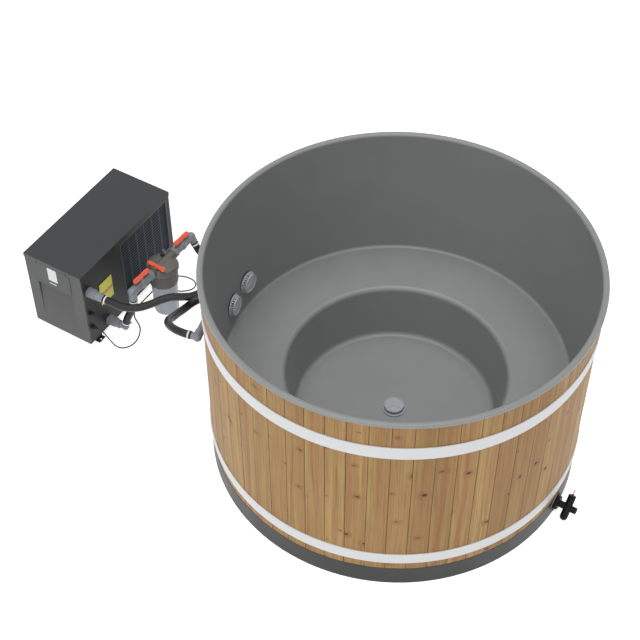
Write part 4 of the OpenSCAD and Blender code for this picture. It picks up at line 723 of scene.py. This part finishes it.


# strainer covers over the return, the suction and the drain, each with a near-black sheet behind its slots
# as painted shade
strainer = {
    "ribs": 26,
    "ribAngle": 6.0,
    "inner": 0.0436,
    "foot": 0.0518,
    "shoulder": 0.0482,
    "ribFrom": 0.0040,
    "ribTo": 0.0172,
    "steps": 60,
    "lid": [(0.0, 0.0166), (0.0474, 0.0166), (0.0482, 0.0172), (0.0480, 0.0222), (0.0472, 0.0230),
            (0.0438, 0.0230), (0.0430, 0.0222), (0.0427, 0.0205), (0.0100, 0.0205), (0.0092, 0.0222),
            (0.0082, 0.0229), (0.0, 0.0230)],
    "brim": [(0.0436, 0.0), (0.0570, 0.0), (0.0570, 0.0022), (0.0562, 0.0030), (0.0532, 0.0034),
             (0.0518, 0.0046), (0.0436, 0.0046)],
    # the sheet of painted shade just behind the slots
    "slotShadeSheet": [(0.0388, 0.0044), (0.0404, 0.0044), (0.0404, 0.0168), (0.0388, 0.0168)],
    "spokes": (90.0, 210.0, 330.0),
    "spokeWidth": 0.0080,
    "spokeTaper": 0.72,
    "spokeFrom": 0.0070,
    "spokeTo": 0.0440,
    "spokeHeights": (0.0200, 0.0226),
    "standOff": 0.005,
    "places": {
        "returnCover": {"node": "return_cover", "azimuth": 180.8, "height": 0.605, "finish": "strainer"},
        "suctionCover": {"node": "suction_cover", "azimuth": 191.0, "height": 0.585, "finish": "strainer"},
        "drainCover": {"node": "drain_cover", "turn": 27.0, "height": 0.165, "finish": "strainerDrain"}},
}


def strainerBody(sizes):
    verts, faces = [], []
    addSolid(verts, faces, turnedRings(sizes["lid"], sizes["steps"]))
    addSolid(verts, faces, turnedRings(sizes["brim"], sizes["steps"]), closed=True)
    near, far, (under, over) = sizes["spokeFrom"], sizes["spokeTo"], sizes["spokeHeights"]
    for angle in sizes["spokes"]:
        turn = Matrix.Rotation(math.radians(angle), 3, "Z")
        rings = []
        for height, share in ((under, 1.0), (over, sizes["spokeTaper"])):
            half = sizes["spokeWidth"] / 2 * share
            corners = [(near, -half), (far, -half), (far, half), (near, half)]
            rings.append([turn @ Vector((x, y, height)) for x, y in corners])
        addSolid(verts, faces, rings)
    return meshObject("strainerBody", verts, faces)


def strainerRib(sizes):
    # one tapered rib of the slotted wall
    half, inner = math.radians(sizes["ribAngle"] / 2), sizes["inner"]
    rings = []
    for outer, height in ((sizes["foot"], sizes["ribFrom"]), (sizes["shoulder"], sizes["ribTo"])):
        corners = [(inner, -half), (outer, -half), (outer, 0.0), (outer, half), (inner, half)]
        rings.append([(r * math.cos(a), r * math.sin(a), height) for r, a in corners])
    return solidObject("strainerRib", rings)


def shapeSource(tree, piece):
    source = addNode(tree, "GeometryNodeObjectInfo", {"Object": piece}, transform_space="ORIGINAL")
    return source.outputs["Geometry"]


def joined(tree, *shapes):
    join = addNode(tree, "GeometryNodeJoinGeometry")
    for shape in shapes:
        feed(tree, join.inputs[0], shape)
    return join.outputs[0]


def seatOf(place, sizes, liner):
    # where a cover sits: flat on the drain, or against the sloping wall and facing inwards
    lift = Matrix.Translation((0.0, 0.0, place["height"]))
    if "turn" in place:
        return lift @ Matrix.Rotation(math.radians(place["turn"]), 4, "Z")
    rise = (place["height"] - liner["seat"]) / (liner["under"] - liner["seat"])
    slope = liner["rimInner"] - liner["seatOuter"]
    wall = liner["seatOuter"] + slope * rise - sizes["standOff"]
    facing = Matrix(((0, 0, -1, wall), (0, 1, 0, 0), (1, 0, 0, place["height"]), (0, 0, 0, 1)))
    return Matrix.Rotation(math.radians(place["azimuth"]), 4, "Z") @ facing


def strainerCovers(sizes, liner):
    for name, place in sizes["places"].items():
        rib = strainerRib(sizes)

        def build(tree, given):
            ribs = ringOfCopies(tree, given["Rib count"], shapeSource(tree, rib))
            return joined(tree, given["Geometry"], ribs)

        piece = growPiece(name, strainerBody(sizes), {"Rib count": sizes["ribs"]},
                          finishes[place["finish"]], build)
        bpy.data.objects.remove(rib)
        piece.name = piece.data.name = name
        # a near-black sheet behind the slots: painted shade in the openings
        slotShadeSheet = solidObject(name + "Lining", turnedRings(sizes["slotShadeSheet"], sizes["steps"]),
                             finishes["strainerInside"], smooth=True, closed=True)
        faceOut(slotShadeSheet)
        for part in (piece, slotShadeSheet):
            part.data.transform(seatOf(place, sizes, liner))
            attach(part, "tub")
        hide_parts(place["node"])


# moulded liner: the CAD piece's walls with its corner at the seat drawn crisp, as photographed
linerSizes = {
    "rimOuter": 0.8996,
    "rimInner": 0.870,
    "top": 1.156,
    "under": 1.141,
    "seatOuter": 0.824,
    "seatInner": 0.525,
    "seat": 0.455,
    "wellOuter": 0.485,
    "well": 0.162,
    "wall": 0.005,
    "rimRoundIn": 0.014,
    "rimRoundOut": 0.012,
    "seatFillet": 0.016,
    "seatRound": 0.026,
    "wellFillet": 0.025,
    "steps": 192,
    "arcSteps": 8,
    "hold": 0.0015,
}


def roundedCorner(before, corner, after, radius, sizes):
    # points of an arc that touches both legs, with a short straight lead on each side
    toBefore, toAfter = (before - corner).normalized(), (after - corner).normalized()
    half = toBefore.angle(toAfter) / 2
    reach = radius / math.tan(half)
    centre = corner + (toBefore + toAfter).normalized() * (radius / math.sin(half))
    first, last = corner + toBefore * reach, corner + toAfter * reach
    arc = [corner + toBefore * (reach + sizes["hold"]), first]
    for i in range(1, sizes["arcSteps"]):
        way = (first - centre).lerp(last - centre, i / sizes["arcSteps"]).normalized()
        arc.append(centre + way * radius)
    return arc + [last, corner + toAfter * (reach + sizes["hold"])]


def linerPiece(sizes, material):
    def at(radius, height, turn=None, wall=0.0):
        return Vector((sizes[radius] + wall, sizes[height] - wall)), turn

    inside = [("wellOuter", "well", "wellFillet"), ("seatInner", "seat", "seatRound"),
              ("seatOuter", "seat", "seatFillet")]
    corners = [(Vector((0.0, sizes["well"])), None)] + [at(*spot) for spot in inside]
    corners += [at("rimInner", "top", "rimRoundIn"), at("rimOuter", "top", "rimRoundOut"),
                at("rimOuter", "under"),
                (Vector((sizes["rimInner"] + sizes["wall"], sizes["under"])), None)]
    corners += [at(*spot, sizes["wall"]) for spot in reversed(inside)]
    corners.append((Vector((0.0, sizes["well"] - sizes["wall"])), None))
    profile = []
    for i, (corner, turn) in enumerate(corners):
        if turn:
            before, after = corners[i - 1][0], corners[i + 1][0]
            profile += roundedCorner(before, corner, after, sizes[turn], sizes)
        else:
            profile.append(corner)
    piece = solidObject("linerShell", turnedRings(profile, sizes["steps"]), material, smooth=True)
    faceOut(piece)
    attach(piece, "tub")
    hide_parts("tub_liner")


strainerCovers(strainer, linerSizes)
print("strainer covers set")
linerPiece(linerSizes, finishes["liner"])
print("liner set")


# slatted guard over the coil
coilGuard = {
    "low": (-1.6043, -0.0377, 0.1343),
    "high": (-1.5956, 0.3587, 0.4777),
    "rim": 0.006,
    "slats": 18,
    "slatPitch": 0.0185,
    "slatInset": 0.0006,
    "slatDepth": 0.0022,
    "slatHeight": 0.0034,
    "slatLip": 0.0018,
    "bars": 5,
    "barWidth": 0.0040,
    "barTaper": 0.7,
    "barDepth": (-1.5985, -1.5958),
}


def guardFrame(sizes):
    (x0, y0, z0), (x1, y1, z1) = sizes["low"], sizes["high"]

    def loop(x, inset):
        low, high = (y0 + inset, z0 + inset), (y1 - inset, z1 - inset)
        return [(x, *low), (x, high[0], low[1]), (x, *high), (x, low[0], high[1])]

    rings = [loop(x0, 0.0), loop(x1, 0.0), loop(x1, sizes["rim"]), loop(x0, sizes["rim"])]
    return solidObject("guardFrame", rings, closed=True)


def guardSlat(sizes):
    # slanted blade with a short upright lip at its outer edge
    rim, lip, rise = sizes["rim"], sizes["slatLip"], sizes["slatHeight"]
    outer, z0 = sizes["high"][0] - sizes["slatInset"], sizes["low"][2] + rim
    inner = outer - sizes["slatDepth"]
    section = [(outer, z0), (outer, z0 + lip), (inner, z0 + rise), (inner, z0 + rise - lip)]
    ends = (sizes["low"][1] + rim, sizes["high"][1] - rim)
    return solidObject("guardSlat", [[(x, y, z) for x, z in section] for y in ends])


def guardBar(sizes):
    (x0, x1), half = sizes["barDepth"], sizes["barWidth"] / 2
    slim = half * sizes["barTaper"]
    corners = [(x0, -half), (x1, -slim), (x1, slim), (x0, half)]
    ends = (sizes["low"][2], sizes["high"][2])
    return solidObject("guardBar", [[(x, y, z) for x, y in corners] for z in ends])


def coilGuardPiece(sizes, material):
    pitch = (sizes["high"][1] - sizes["low"][1]) / (sizes["bars"] + 1)
    numbers = {"Slat count": sizes["slats"], "Slat pitch": sizes["slatPitch"],
               "Bar count": sizes["bars"], "Bar pitch": pitch, "First bar": sizes["low"][1] + pitch}
    slat, bar = guardSlat(sizes), guardBar(sizes)

    def build(tree, given):
        slats = {"Count": given["Slat count"], "Offset": vectorOf(tree, 0.0, 0.0, given["Slat pitch"])}
        bars = {"Count": given["Bar count"], "Offset": vectorOf(tree, 0.0, given["Bar pitch"]),
                "Start Location": vectorOf(tree, 0.0, given["First bar"])}
        rows = []
        for source, line in ((slat, slats), (bar, bars)):
            points = addNode(tree, "GeometryNodeMeshLine", line, mode="OFFSET").outputs[0]
            rows.append(copiesOn(tree, points, shapeSource(tree, source)))
        return joined(tree, given["Geometry"], *rows)

    piece = growPiece("coilGuard", guardFrame(sizes), numbers, material, build)
    for source in (slat, bar):
        bpy.data.objects.remove(source)
    piece.name = piece.data.name = "coilGuard"
    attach(piece, "tub")
    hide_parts("coil_guard")


coilGuardPiece(coilGuard, finishes["guard"])
print("coil guard set")


# bare plate, bare bar and plain sticker on the heat pump
signs = {
    "plate": {"box": ((-1.807, -0.3638, 0.403), (-1.750, -0.3627, 0.489)), "round": 0.003},
    "bar": {"box": ((-1.805, -0.3636, 0.3795), (-1.761, -0.3627, 0.3855)), "round": 0.002},
    "sticker": {"x": -1.5924, "sunk": 0.0005, "thick": 0.0004, "lift": 0.0002, "round": 0.0015,
                "y": (-0.239, -0.138), "z": (0.215, 0.361), "line": (0.287, 0.292),
                "strip": (0.272, 0.283), "stripInset": (0.012, 0.004)},
}


def roundedSlab(name, low, high, radius, axis, material, steps=5):
    # thin slab with round corners, thick along the axis given
    u, v = [i for i in range(3) if i != axis]
    left, right = low[u] + radius, high[u] - radius
    under, over = low[v] + radius, high[v] - radius
    outline = []
    for cu, cv, start in ((right, over, 0), (left, over, 90), (left, under, 180), (right, under, 270)):
        for i in range(steps + 1):
            turn = math.radians(start + 90 * i / steps)
            outline.append((cu + radius * math.cos(turn), cv + radius * math.sin(turn)))
    rings = [[[level] * 3 for spot in outline] for level in (low[axis], high[axis])]
    for ring in rings:
        for point, (a, b) in zip(ring, outline):
            point[u], point[v] = a, b
    piece = solidObject(name, rings, material)
    faceOut(piece)
    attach(piece, "tub")
    return piece


for name, sizes in (("frontPlate", signs["plate"]), ("frontBar", signs["bar"])):
    piece = roundedSlab(name, *sizes["box"], sizes["round"], 1, finishes["plate"])


def sideSticker(sizes):
    (y0, y1), (inset0, inset1) = sizes["y"], sizes["stripInset"]
    narrow = (y0 + inset0, y1 - inset1)
    inks = {"stickerYellow": (sizes["z"], sizes["y"], 0.0, paint(226, 226, 62)),
            "stickerLine": (sizes["line"], sizes["y"], sizes["lift"], paint(40, 40, 34)),
            "stickerStrip": (sizes["strip"], narrow, sizes["lift"], paint(238, 132, 108))}
    for name, (rows, columns, lift, colour) in inks.items():
        ink = moulded(name, colour, 0.4, 0.06, 500.0, 0.00004)
        low = (sizes["x"] - sizes["sunk"], columns[0], rows[0])
        high = (sizes["x"] + sizes["thick"] + lift, columns[1], rows[1])
        piece = roundedSlab(name, low, high, sizes["round"], 0, ink)


sideSticker(signs["sticker"])
print("plate, bar and sticker set")


# screws of the casing, one small head repeated
screwSizes = {
    "headRadius": 0.0042,
    "headHeight": 0.0016,
    "dome": [(1.0, 0.0), (0.97, 0.55), (0.78, 0.88), (0.45, 1.0), (0.0, 0.35)],
    "ringSteps": 14,
    "height": 0.499,
    "spots": {
        (0, -1, 0): [(-1.873, -0.3630), (-1.688, -0.3630)],
        (1, 0, 0): [(-1.5930, -0.300), (-1.5930, 0.010), (-1.5930, 0.330)],
        (-1, 0, 0): [(-1.9540, -0.300), (-1.9540, 0.010), (-1.9540, 0.330)],
        (0, 1, 0): [(-1.873, 0.3880), (-1.688, 0.3880)]},
}


def screwHead(sizes):
    # low dome with a sunk middle, looking along +Z
    profile = [(sizes["headRadius"] * share, sizes["headHeight"] * rise) for share, rise in sizes["dome"]]
    return solidObject("casingScrews", turnedRings(profile, sizes["ringSteps"]))


def screwSet(sizes, material):
    spots, ways = [], []
    for way, places in sizes["spots"].items():
        for x, y in places:
            spots.append((x, y, sizes["height"]))
            ways.append(way)
    marker = meshObject("screwSpots", spots, [])
    storeVectors(marker, "facing", ways)

    def build(tree, given):
        way = addNode(tree, "GeometryNodeInputNamedAttribute", data_type="FLOAT_VECTOR",
                      inputs={"Name": "facing"}).outputs["Attribute"]
        turn = addNode(tree, "FunctionNodeAlignRotationToVector", {"Vector": way}, axis="Z").outputs[0]
        scale = vectorOf(tree, *[given["Screw size"]] * 3)
        return copiesOn(tree, shapeSource(tree, marker), given["Geometry"], Rotation=turn, Scale=scale)

    piece = growPiece("screwSet", screwHead(sizes), {"Screw size": 1.0}, material, build)
    bpy.data.objects.remove(marker)
    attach(piece, "tub")


screwSet(screwSizes, finishes["blackPlastic"])
print("screws set")


# studio: white surroundings, pale floor, soft light from above and from the front
studio = {
    "worldLight": 0.28,
    "floorHalf": 40.0,
    "floorDrop": 0.0006,
    "floorTone": 0.82,
    "floorSeen": 0.78,
    "floorBounce": 0.42,
    "lamps": {"softTop": {"strength": 1.35, "angle": 45.0, "turn": (0.0, 0.0, 0.0)},
              "softFront": {"strength": 0.75, "angle": 60.0, "turn": (50.0, 0.0, 5.0)}},
}


def seenOrLit(tree, seen, lit):
    # one strength for the camera, gloss and clear bodies, another for the light on the object
    path = addNode(tree, "ShaderNodeLightPath").outputs
    direct = calc(tree, "MAXIMUM", path["Is Camera Ray"], path["Is Glossy Ray"])
    direct = calc(tree, "MAXIMUM", direct, path["Is Transmission Ray"])
    return spread(tree, direct, 0.0, 1.0, lit, seen)


def emptyTree(holder):
    holder.use_nodes = True
    holder.node_tree.nodes.clear()
    return holder.node_tree


def addStudio(setup):
    scene.world = bpy.data.worlds.new("studio")
    tree = emptyTree(scene.world)
    light = addNode(tree, "ShaderNodeBackground",
                    {"Color": (1, 1, 1, 1), "Strength": seenOrLit(tree, 1.0, setup["worldLight"])})
    addNode(tree, "ShaderNodeOutputWorld", {"Surface": light.outputs[0]})

    material = bpy.data.materials.new("studioFloor")
    tree = emptyTree(material)
    plain = addNode(tree, "ShaderNodeBsdfDiffuse", {"Color": (setup["floorTone"],) * 3 + (1,)})
    strength = seenOrLit(tree, setup["floorSeen"], setup["floorBounce"])
    glow = addNode(tree, "ShaderNodeEmission", {"Strength": strength})
    both = addNode(tree, "ShaderNodeAddShader", {0: plain.outputs[0], 1: glow.outputs[0]})
    addNode(tree, "ShaderNodeOutputMaterial", {"Surface": both.outputs[0]})
    half, drop = setup["floorHalf"], -setup["floorDrop"]
    corners = [(-half, -half, drop), (half, -half, drop), (half, half, drop), (-half, half, drop)]
    floor = meshObject("studioFloor", corners, [(0, 1, 2, 3)], material)

    for name, lamp in setup["lamps"].items():
        light = bpy.data.lights.new(name, "SUN")
        light.energy = lamp["strength"]
        light.angle = math.radians(lamp["angle"])
        holder = bpy.data.objects.new(name, light)
        holder.rotation_euler = [math.radians(a) for a in lamp["turn"]]
        scene.collection.objects.link(holder)


addStudio(studio)
print("studio lit")
